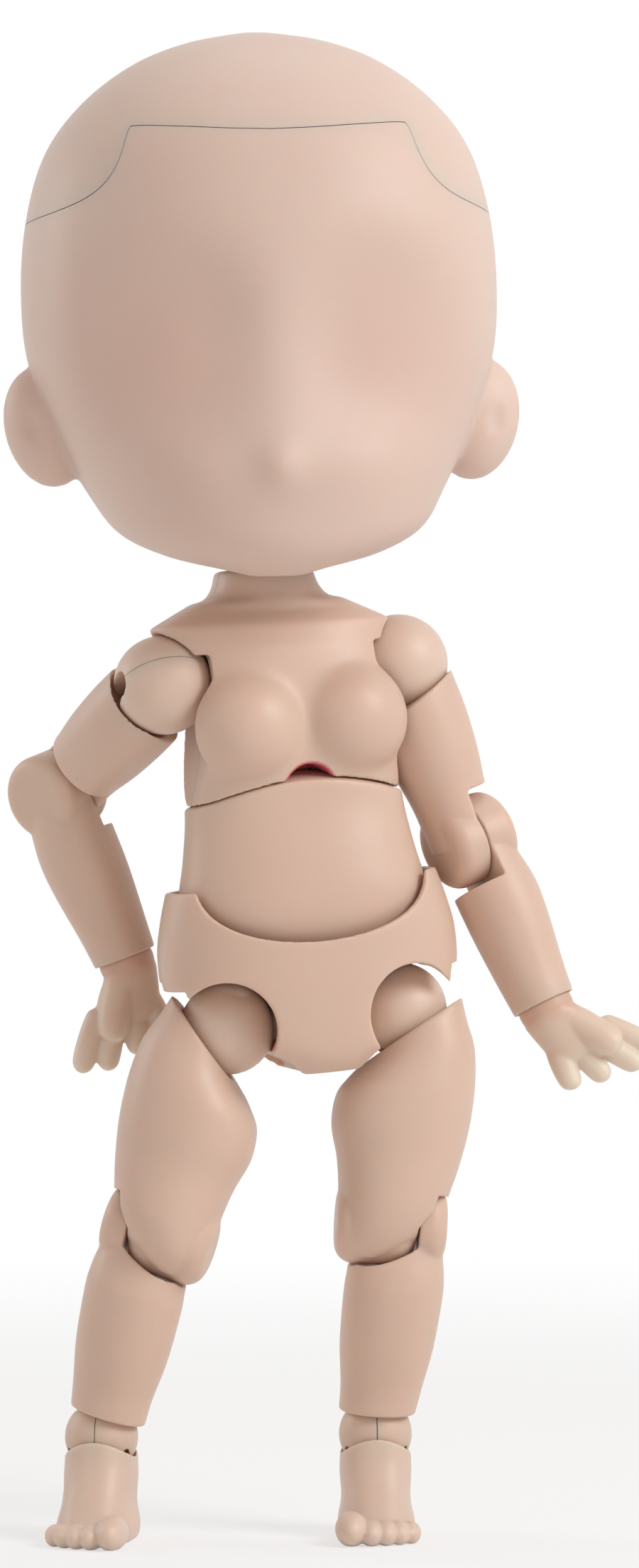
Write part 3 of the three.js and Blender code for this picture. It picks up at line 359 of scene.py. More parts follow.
# A node group with named inputs and outputs; fill adds its nodes and returns what feeds each output.
def effect(name, inputs, outputs, fill):
    group = bpy.data.node_groups.new(name, "ShaderNodeTree")
    for label, kind, value in inputs:
        group.interface.new_socket(label, in_out="INPUT", socket_type=kind).default_value = value
    for label, kind in outputs:
        group.interface.new_socket(label, in_out="OUTPUT", socket_type=kind)
    entry, leave = group.nodes.new("NodeGroupInput"), group.nodes.new("NodeGroupOutput")

    def node(kind, **sockets):
        made = group.nodes.new(kind)
        for label, value in sockets.items():
            socket = made.inputs[int(label[1:])] if label[0] == "i" and label[1:].isdigit() else made.inputs[label]
            if isinstance(value, bpy.types.NodeSocket):
                group.links.new(value, socket)
            else:
                socket.default_value = value
        return made

    for label, socket in fill(node, entry.outputs).items():
        group.links.new(socket, leave.inputs[label])
    return group


# Fine grain of a matt moulded surface, with slow drifts of tone and polish.
def plasticEffect():
    def fill(node, given):
        place = node("ShaderNodeTexCoord").outputs["Object"]
        drift = node("ShaderNodeTexNoise", Vector=place, Scale=38.0, Detail=2.0)
        cloud = node("ShaderNodeMapRange", Value=drift.outputs["Fac"], i1=0.35, i2=0.65)
        tone = node("ShaderNodeMix", i0=cloud.outputs["Result"], i6=given["Colour"], i7=given["Drift Colour"])
        tone.data_type = "RGBA"
        colour = tone.outputs[2]
        # The pale colour and a painted warm shade are mixed in wherever each point's attribute asks for them.
        for attribute, target in (("pale", "Pale Colour"), ("painted_shade", "Painted Shade Colour")):
            share = node("ShaderNodeAttribute")
            share.attribute_name = attribute
            mixed = node("ShaderNodeMix", i0=share.outputs["Fac"], i6=colour, i7=given[target])
            mixed.data_type = "RGBA"
            colour = mixed.outputs[2]
        grain = node("ShaderNodeTexNoise", Vector=place, Scale=given["Grain Scale"], Detail=3.0, Roughness=0.6)
        polish = node("ShaderNodeMapRange", Value=grain.outputs["Fac"], i1=0.3, i2=0.7,
                      i3=given["Smooth"], i4=given["Rough"])
        relief = node("ShaderNodeMapRange", Value=grain.outputs["Fac"], i3=0.0, i4=0.000012)
        return {
            "Colour": colour,
            "Roughness": polish.outputs["Result"],
            "Height": relief.outputs["Result"],
        }

    return effect(
        "mouldedPlastic",
        [
            ("Colour", "NodeSocketColor", (0.8, 0.6, 0.5, 1)),
            ("Drift Colour", "NodeSocketColor", (0.8, 0.6, 0.5, 1)),
            ("Pale Colour", "NodeSocketColor", (0.8, 0.7, 0.6, 1)),
            ("Painted Shade Colour", "NodeSocketColor", (0.7, 0.3, 0.3, 1)),
            ("Grain Scale", "NodeSocketFloat", 2600.0),
            ("Smooth", "NodeSocketFloat", 0.4),
            ("Rough", "NodeSocketFloat", 0.5),
        ],
        [("Colour", "NodeSocketColor"), ("Roughness", "NodeSocketFloat"), ("Height", "NodeSocketFloat")],
        fill,
    )


mouldedPlastic = plasticEffect()
lookColours = {"Colour": "tone", "Drift Colour": "drift", "Pale Colour": "pale", "Painted Shade Colour": "painted_shade"}
lookValues = {"Grain Scale": "grain", "Smooth": "smooth", "Rough": "rough"}
# Light enters the plastic a few millimetres, red furthest, which warms its shadows.
plasticBody = {"Subsurface Radius": (1.0, 0.36, 0.2), "Subsurface Scale": 0.0024, "IOR": 1.47}


def setInputs(node, values):
    for label, value in values.items():
        node.inputs[label].default_value = value


def plastic(name, look):
    material = bpy.data.materials.new(name)
    material.use_nodes = True
    nodes, links = material.node_tree.nodes, material.node_tree.links
    shader = nodes["Principled BSDF"]
    group = nodes.new("ShaderNodeGroup")
    group.node_tree = mouldedPlastic
    setInputs(group, {label: shade(*look[key]) for label, key in lookColours.items()})
    setInputs(group, {label: look[key] for label, key in lookValues.items()})
    bump = nodes.new("ShaderNodeBump")
    setInputs(bump, {"Strength": look["bump"]})
    links.new(group.outputs["Height"], bump.inputs["Height"])
    links.new(group.outputs["Colour"], shader.inputs["Base Color"])
    links.new(group.outputs["Roughness"], shader.inputs["Roughness"])
    links.new(bump.outputs["Normal"], shader.inputs["Normal"])
    setInputs(shader, {"Subsurface Weight": look["depth"], **plasticBody})
    return material


# Each material's painted shade colour is the warm shade painted into creases, gaps and hollows.
bodyPlastic = plastic("body_plastic", {
    "tone": (219, 192, 174), "drift": (216, 187, 169), "pale": (226, 204, 188), "painted_shade": (204, 96, 108),
    "grain": 2600.0, "smooth": 0.38, "rough": 0.5, "bump": 0.6, "depth": 0.4,
})
headPlastic = plastic("head_plastic", {
    "tone": (223, 200, 187), "drift": (220, 195, 181), "pale": (226, 210, 196), "painted_shade": (205, 150, 134),
    "grain": 2400.0, "smooth": 0.46, "rough": 0.58, "bump": 0.6, "depth": 0.4,
})
handPlastic = plastic("hand_plastic", {
    "tone": (221, 200, 181), "drift": (218, 195, 175), "pale": (226, 214, 197), "painted_shade": (206, 150, 128),
    "grain": 2600.0, "smooth": 0.38, "rough": 0.5, "bump": 0.6, "depth": 0.45,
})
# The pieces inside take a reddish colour that is painted warm shade, as it shows in the gaps between the parts.
innerShadePlastic = plastic("inner_plastic", {
    "tone": (206, 140, 112), "drift": (200, 132, 105), "pale": (206, 140, 112), "painted_shade": (204, 96, 108),
    "grain": 2000.0, "smooth": 0.4, "rough": 0.5, "bump": 0.4, "depth": 0.3,
})
print("materials made")


# Trunk

# Tools drawn for the left side, set at their place on that side or the other.
def placed(side, x, z, *tools):
    for tool in tools:
        if side < 0:
            tool.data.transform(Matrix.Diagonal((-1, 1, 1, 1)))
            tool.data.flip_normals()
        tool.data.transform(Matrix.Translation((side * x, 0, z)))
    return list(tools)


# Smooth step from 0 at low to 1 at high.
def ramp(value, low, high):
    t = min(max((value - low) / (high - low), 0), 1)
    return t * t * (3 - 2 * t)


pelvisShape = {
    "half": 14.0, "front": 8.6, "back": 8.8, "floor": 4.6, "rimSide": 13.0, "rimFront": 7.6,
    "hipSpacing": 16.5, "hipBall": 4.4, "crotchRoom": 6.15, "openingYaw": 11, "voxel": 0.17,
    "bowlHalf": 11.95, "bowlFront": 8.05, "bowlBack": 7.4, "thighReach": 7.5, "roomFront": 4, "roomBack": 5.6,
    "slope": 30, "slopeDrop": 0.4, "pedestal": 3.3, "pedestalTop": 8.4, "linkHeight": 5.4,
}


def makePelvis():
    p = pelvisShape
    half, front, back, rim = p["half"], p["front"], p["back"], p["rimSide"]
    form = loft(inShares(half, front, back, [
        (-p["floor"], 0.34, 0.78, 0.72),
        (-p["floor"] * 0.7, 0.5, 0.92, 0.9),
        (-1.2, 0.86, 0.98, 0.98),
        (3.2, 0.98, 1, 1),
        (7, 1, 0.98, 1),
        (10, 0.965, 0.96, 0.95),
        (rim, 0.905, 0.94, 0.9),
    ]), segments=80, rings=44, power=2.35)
    inner, deep, rear = p["bowlHalf"], p["bowlFront"], p["bowlBack"]
    bowl = loft(inShares(inner, deep, rear, [
        (3.6, 0.62, 0.66, 0.66),
        (6.4, 0.9, 0.92, 0.92),
        (9.5, 1, 1, 1),
        (rim + 6, 1, 1, 1),
    ]), segments=64, rings=24, power=2.4)
    dip = ellipsoid((0, -front, rim + 0.8), (half * 0.875, 9, rim - p["rimFront"] + 0.8), 56)
    carve(form, bowl, dip)
    whole = joined(form, rod(p["pedestal"], 0, p["pedestalTop"]))
    tools = []
    for s in (1, -1):
        # The top of the thigh needs room at the front and more of it behind.
        frontTop, backTop = (
            carve(
                ball(p["thighReach"]),
                above(top, 40),
                block((-40, -40, -40), (0.3, 40, 40)),
                block((-40, -40, -40), (40, start, 40)),
            )
            for top, start in ((p["roomFront"], -4.2), (p["roomBack"], 0.3))
        )
        # The top of the thigh slopes, and so does the hollow that it swings in.
        drop = -p["slopeDrop"]
        slope = tilted(above(0, 40), -p["slope"], "Y", (0, 0, drop))
        swing = rod(p["thighReach"] - 0.1, -p["crotchRoom"], 5.4, "x", segments=64)
        carve(swing, slope, above(drop, 40))
        tools += placed(
            s, p["hipSpacing"] / 2, 0,
            ball(p["hipBall"] + 0.3),
            tilted(rod(p["hipBall"] + 0.2, -14, 0, "y", segments=64), p["openingYaw"] if s < 0 else 0, "Z"),
            swing,
            frontTop,
            backTop,
            block((4.6, -15, -18.8), (24, 15, 1.2)),
            spun([(0, -6.7), (2.5, -6.7), (2.5, -3), (0, -3)], "x", 40),
        )
    carve(whole, *tools, tongueRoom(2.8, 2.1, 1.7, 170, 190, z=p["linkHeight"]))
    return splitAtSeam(whole, p["voxel"], 6)


abdomenShape = {
    "half": 11.55, "front": 7.6, "back": 6.8, "topHalf": 10.2, "length": 12.0,
    "seatRadius": 18.0, "crest": 1.3, "seatGap": 0.2, "voxel": 0.19,
}


# What lies below the shallow dome on which the chest turns; its crest is at the given height.
def seatBelow(crest):
    steps = 10
    reach = 14.0
    dome = [(reach * (1 - i / steps), crest - (reach * (1 - i / steps)) ** 2 / (2 * abdomenShape["seatRadius"]))
            for i in range(steps + 1)]
    return spun([(0, -30), (reach, -30)] + dome, "z", 72)


def makeAbdomen():
    a = abdomenShape
    top, half, front, back = a["length"], a["half"], a["front"], a["back"]
    lower = inShares(half, front, back, [
        (-5.2, 0.5, 0.5, 0.5),
        (-3.6, 0.76, 0.78, 0.8),
        (-1, 0.93, 0.96, 0.97),
        (1.8, 1, 1, 1),
        (top * 0.46, 0.94, 0.93, 0.94),
    ])
    form = loft(lower + [
        (top * 0.75, (half + 2 * a["topHalf"]) / 3.1, front * 0.84, back * 0.9),
        (top * 0.95, a["topHalf"], front * 0.82, back * 0.88),
        (top + 1.6, a["topHalf"], front * 0.82, back * 0.88),
    ], segments=72, rings=44, power=2.4)
    whole = carve(form, lifted(seatBelow(a["crest"]), top), operation="INTERSECT")
    peg = headedPeg(3, 1.9, 6.5, 8.3, 16, "z")
    carve(whole, rod(4.6, -9, -1.1), peg, tongueRoom(2.8, 2.1, 1.7, -14, 14, "x", 1.6))
    return splitAtSeam(whole, a["voxel"], 4)


chestShape = {
    "half": 10.6, "front": 6.3, "back": 6.5, "height": 15.2, "stub": 4.9, "neckHalf": 4.6,
    "domeRadius": 6.0, "domeSpacing": 10.0, "shoulderSpacing": 23.0, "shoulderHeight": 10.2,
    "notchRadius": 2.4, "notchHeight": 1.75, "collarShift": 0.6, "collarRoll": 0.04, "melt": 40, "neckMelt": 30,
    "armRoom": 4.65, "armSlope": 16, "ballRoom": 4.86, "voxel": 0.17,
}


def makeChest():
    c = chestShape
    half, front, back, top, stub, neck = c["half"], c["front"], c["back"], c["height"], c["stub"], c["neckHalf"]
    form = loft(inShares(half, front, back, [
        (-2.2, 0.93, 0.92, 0.91),
        (-0.5, 0.96, 0.94, 0.93),
        (top * 0.2, 1, 1, 1),
        (top * 0.5, 1, 1, 1),
        (top * 0.78, 1.01, 0.92, 0.94),
        (top * 0.9, 1.05, 0.83, 0.87),
        (top * 0.985, 1.09, 0.77, 0.82),
    ]), segments=80, rings=64, power=2.5)
    r = c["domeRadius"]
    domes = [
        ellipsoid((s * c["domeSpacing"] / 2, -front + r * 0.56, top * 0.365), (r * 0.95, r, r * 0.94), 48)
        for s in (1, -1)
    ]
    body = melted(remeshed(gather(form, *domes), 0.32), c["melt"], lambda p: 1 - ramp(p.z, top * 0.72, top * 0.86))
    # Above the collar's edge a plate slopes up to the neck.
    plate = loft([
        (top * 0.9, half * 1.04, front * 0.76, back * 0.84),
        (top * 0.985, half * 1.085, front * 0.76, back * 0.81),
        (top + stub * 0.2, half * 0.86, front * 0.66, back * 0.72, 0, 0.4),
        (top + stub * 0.42, neck * 1.5, neck * 0.97, neck * 1.1, 0, 0.7),
    ], segments=72, rings=30, power=2.5, straight=True)
    column = loft(inShares(neck, neck, neck, [
        (top * 0.95, 1.7, 0.9, 1.1, 0, 0.7),
        (top + stub * 0.3, 1.45, 0.92, 1.05, 0, 0.8),
        (top + stub * 0.52, 1.2, 0.94, 1.02, 0, 0.8),
        (top + stub * 0.74, 1.05, 0.95, 1, 0, 0.8),
        (top + stub, 1, 0.95, 1, 0, 0.8),
    ]), segments=64, rings=24)
    body = remeshed(gather(body, plate, column), 0.22, 2)
    melted(body, c["neckMelt"], lambda p: ramp(p.z, top + 0.7, top + 1.7))
    # The collar sits a little off the middle and level while the chest leans.
    for v in body.data.vertices:
        high = ramp(v.co.z, top * 0.6, top * 0.95)
        v.co += Vector((-c["collarShift"], 0, -c["collarRoll"] * v.co.x)) * high
    # The side of the chest is cut along a cone round the shoulder, which leaves the arm its room.
    slope = math.tan(math.radians(c["armSlope"]))
    room, reach = c["armRoom"], 26
    near = room * 0.85
    nearSide, farSide = (-room / math.cos(math.atan(slope)) + slope * distance for distance in (near, reach))
    coneProfile = [(0, nearSide), (near, nearSide), (reach, farSide), (reach, reach), (0, reach)]
    tools = []
    for s in (1, -1):
        cone = spun(coneProfile, "x", 64)
        carve(
            cone,
            block((-60, -60, -60), (60, -room, 60)),
            above(2.4, 60),
            block((-60, 0.5, -1.2), (60, 60, 60)),
        )
        post = headedPeg(2.5, 1.8, -6.8, -5.4, -3.8, "x")
        tools += placed(s, c["shoulderSpacing"] / 2, c["shoulderHeight"], cone, post, ball(c["ballRoom"]))
    peg = headedPeg(3, 1.9, -5.5, -3.7, 5.3, "z")
    notch = rod(c["notchRadius"], -14, -2.6, "y", (0, 0, c["notchHeight"] - c["notchRadius"]), 48)
    hingeRoom = tongueRoom(2.2, 2.1, 1.5, 162, 198, "x", 17)
    seat = seatBelow(abdomenShape["crest"] + abdomenShape["seatGap"])
    crisply(body, *tools, peg, seat, notch, hingeRoom)
    halves = splitAtSeam(body, c["voxel"], 4)
    reach, middle = c["notchRadius"] + 0.12, c["notchHeight"] - c["notchRadius"]

    # The notch is painted with warm shade inside, full towards its back and weaker near its front edge.
    def notchPaintedShade(p):
        share = 1 - ramp(math.hypot(p.x, p.z - middle), reach, reach + 0.15)
        return share * (1 if p.y > -8.2 else 0.3)

    painted(halves[0], "painted_shade", notchPaintedShade)
    return halves


# Limbs

hinge = {"gap": 0.14, "seam": 0.08, "clearance": 0.3, "stemHole": 1.2, "stemReach": 9.3, "pin": 1.05, "cover": 0.95}


# A limb with its cup at the top has the pin at its lower end; the other kind has them the other way.
def boredLimb(whole, shape, half, passes, cupAtTop):
    low = Vector((0, 0, -shape["length"]))
    if cupAtTop:
        pin = rod(hinge["pin"], -half + hinge["cover"], 9, "x", low, 32)
        carve(whole, ball(shape["cup"]), rod(hinge["stemHole"], -hinge["stemReach"], 0), pin)
    else:
        pin = rod(hinge["pin"], -9, half - hinge["cover"], "x", segments=32)
        carve(whole, ball(shape["cup"], low), rod(hinge["stemHole"], -shape["length"], shape["boreEnd"]), pin)
    return remeshed(whole, shape["voxel"], passes)


# The rounded lobe of an overlapping hinge at height z, from the lap plane out to the limb's side.
def lobe(radius, face, outer, z, edge, innerEdge=0.12):
    sign = 1 if outer > face else -1
    steps = 7
    arc = [(math.sin(angle), math.cos(angle)) for angle in (math.radians(90 * i / steps) for i in range(steps + 1))]
    profile = [(0, face)]
    profile += [(radius - innerEdge * (1 - s), face + sign * innerEdge * (1 - c)) for s, c in arc]
    profile += [(radius - edge * (1 - c), outer - sign * edge * (1 - s)) for s, c in arc]
    profile.append((0, outer))
    return lifted(spun(profile, "x", 64), z)


# What the neighbour's lobe needs: a round room and everything beyond it on that side of the lap plane.
# A lobe that is rounded near its outer side gives that side and its rounding, and the room follows it.
def lapRoom(radius, face, far, z, beyond, frontRoom=20, side=None, rounding=0):
    reach = radius + hinge["clearance"]
    low, high = sorted((face, far))
    full, end = z + beyond * (reach + 0.25), z - beyond * 14
    start = full
    if side is None:
        room = rod(reach, low, high, "x", (0, 0, z), 64)
    else:
        start = z + beyond * (reach - rounding)
        room = lifted(spun([
            (0, face), (reach, face), (reach, side - rounding), (reach - 0.3 * rounding, side - 0.3 * rounding),
            (reach - rounding, side + 0.1), (reach - rounding, far), (0, far),
        ], "x", 64), z)
    bottom, top = sorted((start, end))
    lowest, highest = sorted((full, end))
    return (
        room,
        block((low, -frontRoom, bottom), (high, 20, top)),
        block((low, -0.8, lowest), (high, 20, highest)),
    )


upperArmShape = {
    "length": 17.8, "radius": 4.35, "elbowHalf": 3.3, "lobeRadius": 4.0, "cup": 4.9,
    "rim": -3.2, "rimTilt": 18, "voxel": 0.14,
}


def makeUpperArm():
    u = upperArmShape
    r, length, elbow = u["radius"], u["length"], u["elbowHalf"]
    sleeve = loft([
        (-1.2, r * 0.98, r * 0.98, r * 0.98),
        (-length * 0.2, r, r, r),
        (-length * 0.36, r, r, r),
        (-length * 0.56, r * 0.93, r * 0.95, r * 0.95),
        (-length * 0.76, elbow * 1.06, elbow * 1.12, elbow * 1.12),
        (-length, elbow, elbow * 1.1, elbow * 1.1),
    ], power=2.1)
    slope = tilted(above(0), -u["rimTilt"], "Y", (0, 0, u["rim"]))
    carve(sleeve, slope, *lapRoom(u["lobeRadius"], -hinge["gap"] / 2, 9, -length, 1))
    whole = joined(sleeve, lobe(u["lobeRadius"], -hinge["gap"] / 2, -elbow + 0.25, -length, 1.3))
    return boredLimb(whole, u, elbow, 5, True)


forearmShape = {
    "length": 17.3, "elbowHalf": 3.3, "widest": 3.9, "wrist": 2.95, "lobeRadius": 4.0,
    "cup": 2.72, "boreEnd": -11.5, "voxel": 0.12,
}


def makeForearm():
    f = forearmShape
    elbow, widest, wrist, end = f["elbowHalf"], f["widest"], f["wrist"], -(f["length"] - 0.5)
    sleeve = loft([
        (0, elbow, elbow * 1.1, elbow * 1.1, 0.1),
        (-3.2, elbow * 1.1, elbow * 1.13, elbow * 1.13, 0.4),
        (-6, widest * 0.98, widest * 0.98, widest * 0.98, 0.55),
        (end * 0.55, widest * 0.94, widest * 0.95, widest * 0.95, 0.4),
        (end * 0.82, wrist * 1.1, wrist * 1.08, wrist * 1.08, 0.1),
        (end, wrist, wrist, wrist),
    ], power=2.1)
    carve(sleeve, *lapRoom(f["lobeRadius"], hinge["gap"] / 2, -9, 0, -1))
    whole = joined(sleeve, lobe(f["lobeRadius"], hinge["gap"] / 2, elbow + 0.3, 0, 1.2))
    return boredLimb(whole, f, elbow, 5, False)


thighShape = {
    "length": 19.9, "half": 6.4, "kneeHalf": 5.0, "lobeRadius": 3.9, "lap": 2.6, "cup": 4.7,
    "slope": 37, "drop": 2.9, "voxel": 0.16,
}


# The thigh ends in a rounded cap over the knee.
def thighForm():
    t = thighShape
    w, k, length, r = t["half"], t["kneeHalf"], t["length"], t["lobeRadius"]
    upper = inShares(w, w, w, [
        (length * 0.07, 0.21, 0.55, 0.6, w * 0.68),
        (-length * 0.05, 0.58, 0.78, 0.84, w * 0.42),
        (-length * 0.14, 0.69, 0.85, 0.93, w * 0.41),
        (-length * 0.23, 0.78, 0.9, 0.98, w * 0.36),
        (-length * 0.32, 0.91, 0.95, 1.01, w * 0.24),
        (-length * 0.41, 1, 0.98, 1.02, w * 0.14),
        (-length * 0.55, 1, 0.97, 1, w * 0.09),
        (-length * 0.7, 0.9, 0.93, 0.92, w * 0.09),
    ])
    lower = inShares(k, k, k, [
        (-length * 0.83, 1.05, 1.19, 1.04, k * 0.07),
        (-length * 0.95, 0.96, 1.16, 0.94, 0),
        (-length - r * 0.28, 0.78, 1.02, 0.8, -k * 0.15),
        (-length - r * 0.64, 0.5, 0.8, 0.66, -k * 0.28),
        (-length - r * 0.87, 0.22, 0.5, 0.44, -k * 0.36),
    ])
    return loft(upper + lower, segments=72, rings=72)


def makeThigh():
    t = thighShape
    k, length, r = t["kneeHalf"], t["length"], t["lobeRadius"]
    body = thighForm()
    slope = tilted(above(0), -t["slope"], "Y", (0, 0, -t["drop"]))
    face = t["lap"] - hinge["gap"] / 2
    reach = calfShape["lobeRadius"]
    frontRoom, side = reach + hinge["clearance"], calfShape["kneeHalf"] + 0.3
    carve(body, slope, *lapRoom(reach, face, 12, -length, 1, frontRoom, side, 1.3))
    whole = joined(body, lobe(r, face, -k, -length, 1.8, 2.2))
    return boredLimb(whole, t, k, 8, True)


calfShape = {
    "length": 19.8, "kneeHalf": 5.0, "widest": 4.7, "end": 3.55, "lobeRadius": 3.6, "lap": 2.6,
    "cup": 3.7, "boreEnd": -12.2, "voxel": 0.16,
}


def makeCalf():
    c = calfShape
    k, w, end, r, bottom = c["kneeHalf"], c["widest"], c["end"], c["lobeRadius"], -(c["length"] - 2.1)
    thighReach = thighShape["lobeRadius"]
    body = loft([
        (0, k * 0.84, r * 0.95, r * 0.97, 0.75),
        (-r * 0.6, k * 0.86, r, w * 0.9, 0.8),
        (-thighReach * 1.15, k * 0.9, w * 0.92, w, 0.9),
        (-thighReach * 1.7, w * 0.98, w * 0.98, w * 1.08, 0.8),
        (bottom * 0.64, w * 0.93, w * 0.92, w, 0.5),
        (bottom * 0.86, end * 1.07, end * 1.03, end * 1.08, 0.25),
        (bottom, end, end, end),
    ], segments=72, rings=56, power=2.15)
    face = c["lap"] + hinge["gap"] / 2
    # The thigh's cap and lobe sweep their own room, which leaves the calf's corner standing beside them.
    t = thighShape
    cap = carve(thighForm(), above(6 - t["length"]))
    joined(cap, lobe(t["lobeRadius"], t["lap"], -t["kneeHalf"], -t["length"], 1.8, 2.2))
    lifted(cap, t["length"])
    sweep = carve(sweptRoom(remeshed(cap, 0.3), 0.28, -62, 9, 8), block((face, -20, -20), (20, 20, 20)))
    carve(body, block((-12, -20, -1.2), (face, 20, 14)), sweep)
    whole = joined(body, lobe(r, face, k + 0.3, 0, 1.6))
    return boredLimb(whole, c, k, 8, False)


# The room that a hinge tongue of that radius and its stem sweep inside a ball at height z.
def tongueRoom(radius, thick, stem, fromAngle, toAngle, axis="y", z=0, voxel=0.25):
    pieces = [rod(radius, -thick / 2, thick / 2, axis)]
    steps = 8
    for step in range(steps + 1):
        angle = fromAngle + (toAngle - fromAngle) * step / steps
        turned = (-angle, "Y") if axis == "y" else (angle, "X")
        pieces.append(tilted(rod(stem, -9, 0, segments=24), *turned))
    return remeshed(lifted(gather(*pieces), z), voxel)


swingBall = {"tongue": 2.2, "thickness": 2.1, "stem": 1.2, "pale": 0.7, "voxel": 0.15}


def makeSwingBall(radius, fromAngle, toAngle):
    b = swingBall
    trunnion = headedPeg(2.2, 1.5, -radius - 1.9, -radius - 1.1, -radius + 0.8, "x")
    whole = joined(ball(radius, segments=64), trunnion)
    carve(whole, tongueRoom(b["tongue"], b["thickness"], b["stem"], fromAngle, toAngle, voxel=0.2))
    halves = splitAtSeam(whole, b["voxel"], 3)
    return [painted(half, "pale", lambda p: b["pale"]) for half in halves]


handShape = {
    "palmLength": 4.8, "palmHalf": 3.2, "thick": 1.6, "wrist": 2.62, "lean": 1.9, "finger": 4.6,
    "fingerRadius": 1.14, "thumbRadius": 1.5, "blend": 11, "voxel": 0.11,
}
# Thickness along a finger, at shares of its length.
fingerProfile = [
    (-0.16, 0.3), (-0.12, 0.6), (-0.04, 0.9), (0.06, 1), (0.3, 1.06), (0.6, 1.04), (0.82, 0.93), (0.94, 0.68),
    (1, 0.22),
]
# Length, spread in degrees and thickness of the fingers, from the index finger on.
fingerSet = [(1.0, -40, 1), (1.05, -30, 1.02), (0.86, -14, 1), (0.72, 4, 1)]


# One finger hangs along -z from its root, and bends forward as it goes.
def makeFinger(length, radius, root, spread, curl):
    rows = [
        (-length * share, radius * fat, radius * fat, radius * fat, 0, -curl * share * share * length)
        for share, fat in fingerProfile
    ]
    return tilted(loft(rows, 24, 16, 2), spread, "Y", root)


def makeHand():
    h = handShape
    wide, thick, wrist, lean, length = h["palmHalf"], h["thick"], h["wrist"], h["lean"], h["palmLength"]
    palm = loft([
        (-0.2, wrist * 0.9, wrist * 0.9, wrist * 0.9),
        (-0.9, wrist * 1.0, wrist * 0.96, wrist * 0.96, lean * 0.05),
        (-length * 0.5, wide * 0.96, thick * 1.3, thick * 1.25, lean * 0.45),
        (-length, wide * 1.06, thick * 0.98, thick, lean),
        (-length - 0.9, wide * 0.9, thick * 0.62, thick * 0.7, lean * 1.15),
    ], 48, 28, 2.3)
    fingers = []
    for index, (share, spread, fat) in enumerate(fingerSet):
        root = (lean + wide * (0.8 - 0.54 * index), 0.15, -length + 1.0)
        long, radius = h["finger"] * share + 0.9, h["fingerRadius"] * fat
        fingers.append(makeFinger(long, radius, root, spread, 0.1 + 0.03 * index))
    thumb = makeFinger(h["finger"] * 1.3, h["thumbRadius"], (wide * 0.35, -thick * 0.42, -length * 0.28), -33, 0.16)
    whole = remeshed(gather(palm, thumb, *fingers), h["voxel"], h["blend"], 0.6)
    whole = joined(ball(wrist), whole)
    hand = remeshed(carve(whole, tongueRoom(1.55, 2.1, 1.2, 150, 210, "x", voxel=0.2)), h["voxel"], 2)
    # The hand is painted with warm shade next to the wrist, where it meets the forearm.
    painted(hand, "painted_shade", lambda p: 0.5 * (1 - ramp(-p.z, 0.2, 2.2)))
    return painted(hand, "pale", lambda p: ramp(-p.z, length - 1, length + 2.5))


footShape = {
    "ankle": 9.4, "length": 14.6, "half": 4.0, "heel": 4.6, "toe": 1.3, "cup": 3.62, "taper": 0.13, "pale": 0.5,
    "blend": 7, "voxel": 0.12,
}
# The two arms of the foot's hinge, half as wide and deep as given, swing through these angles.
forkSlot = {"half": 0.65, "depth": 1.18, "angles": (-28, -14, 0, 14, 28)}
# Size of each toe from the big one on, its place across the foot and how far back it lies.
toeSet = [(1.2, 1.5, 0), (0.9, 3.55, 0.1), (0.86, 5.1, 0.5), (0.82, 6.5, 1.15), (0.78, 7.7, 2.1)]


def makeFoot():
    f = footShape
    sole, toe, wide, heel = -f["ankle"], f["length"] - f["heel"], f["half"], f["heel"]
    body = loft(inShares(wide, toe, heel, [
        (sole, 0.9, 0.76, 0.9),
        (sole + 0.5, 0.98, 0.82, 0.98),
        (sole + 1.6, 1, 0.8, 1),
        (sole + 3.2, 0.92, 0.68, 0.98),
        (sole + 5.0, 0.86, 0.54, 0.95),
        (sole + 6.8, 0.83, 0.44, 0.9),
        (-1.2, 0.82, 0.4, 0.86),
        (-0.2, 0.8, 0.385, 0.84),
    ]), 64, 44, 2.35)
    # Low down, the foot narrows towards the heel.
    for v in body.data.vertices:
        v.co.x *= 1 - f["taper"] * ramp(v.co.y, -toe * 0.7, 0) * (1 - ramp(v.co.z, sole + 3, sole + 6.5))
    # The top edge arches over the ankle ball, higher at the front and back than at the sides.
    arch = rod(4.3, -30, 30, "y", (0, 0, -4.5), 64)
    carve(body, carve(above(-4.0), arch))
    toes = []
    for fat, x, y in toeSet:
        r = f["toe"] * fat
        centre = (-wide + x * 2 * wide / 8.9, -toe + r + y, sole + r * 0.95)
        toes.append(ellipsoid(centre, (r * 0.96, r * 1.8, r * 1.05), 24))
    whole = remeshed(gather(body, *toes), f["voxel"], f["blend"], 0.6)
    seat = block((-2.5, -forkSlot["depth"], -5.9), (2.5, forkSlot["depth"], -2.4))
    carve(whole, block((-20, -20, -20), (20, 20, sole)), ball(f["cup"]), seat, rod(1.2, -7.9, -5))
    foot = remeshed(whole, f["voxel"], 2)

    def toePaleness(p):
        share = ramp(-p.y, toe * 0.55, toe * 0.95) * (1 - ramp(p.z - sole, 2.4, 5))
        return f["pale"] + (1 - f["pale"]) * share

    return painted(foot, "pale", toePaleness)


ankleBall = {
    "radius": 3.4, "tongue": 1.4, "thickness": 1.6, "stem": 1.1, "roll": 26, "forkSpacing": 4.2, "voxel": 0.13,
}


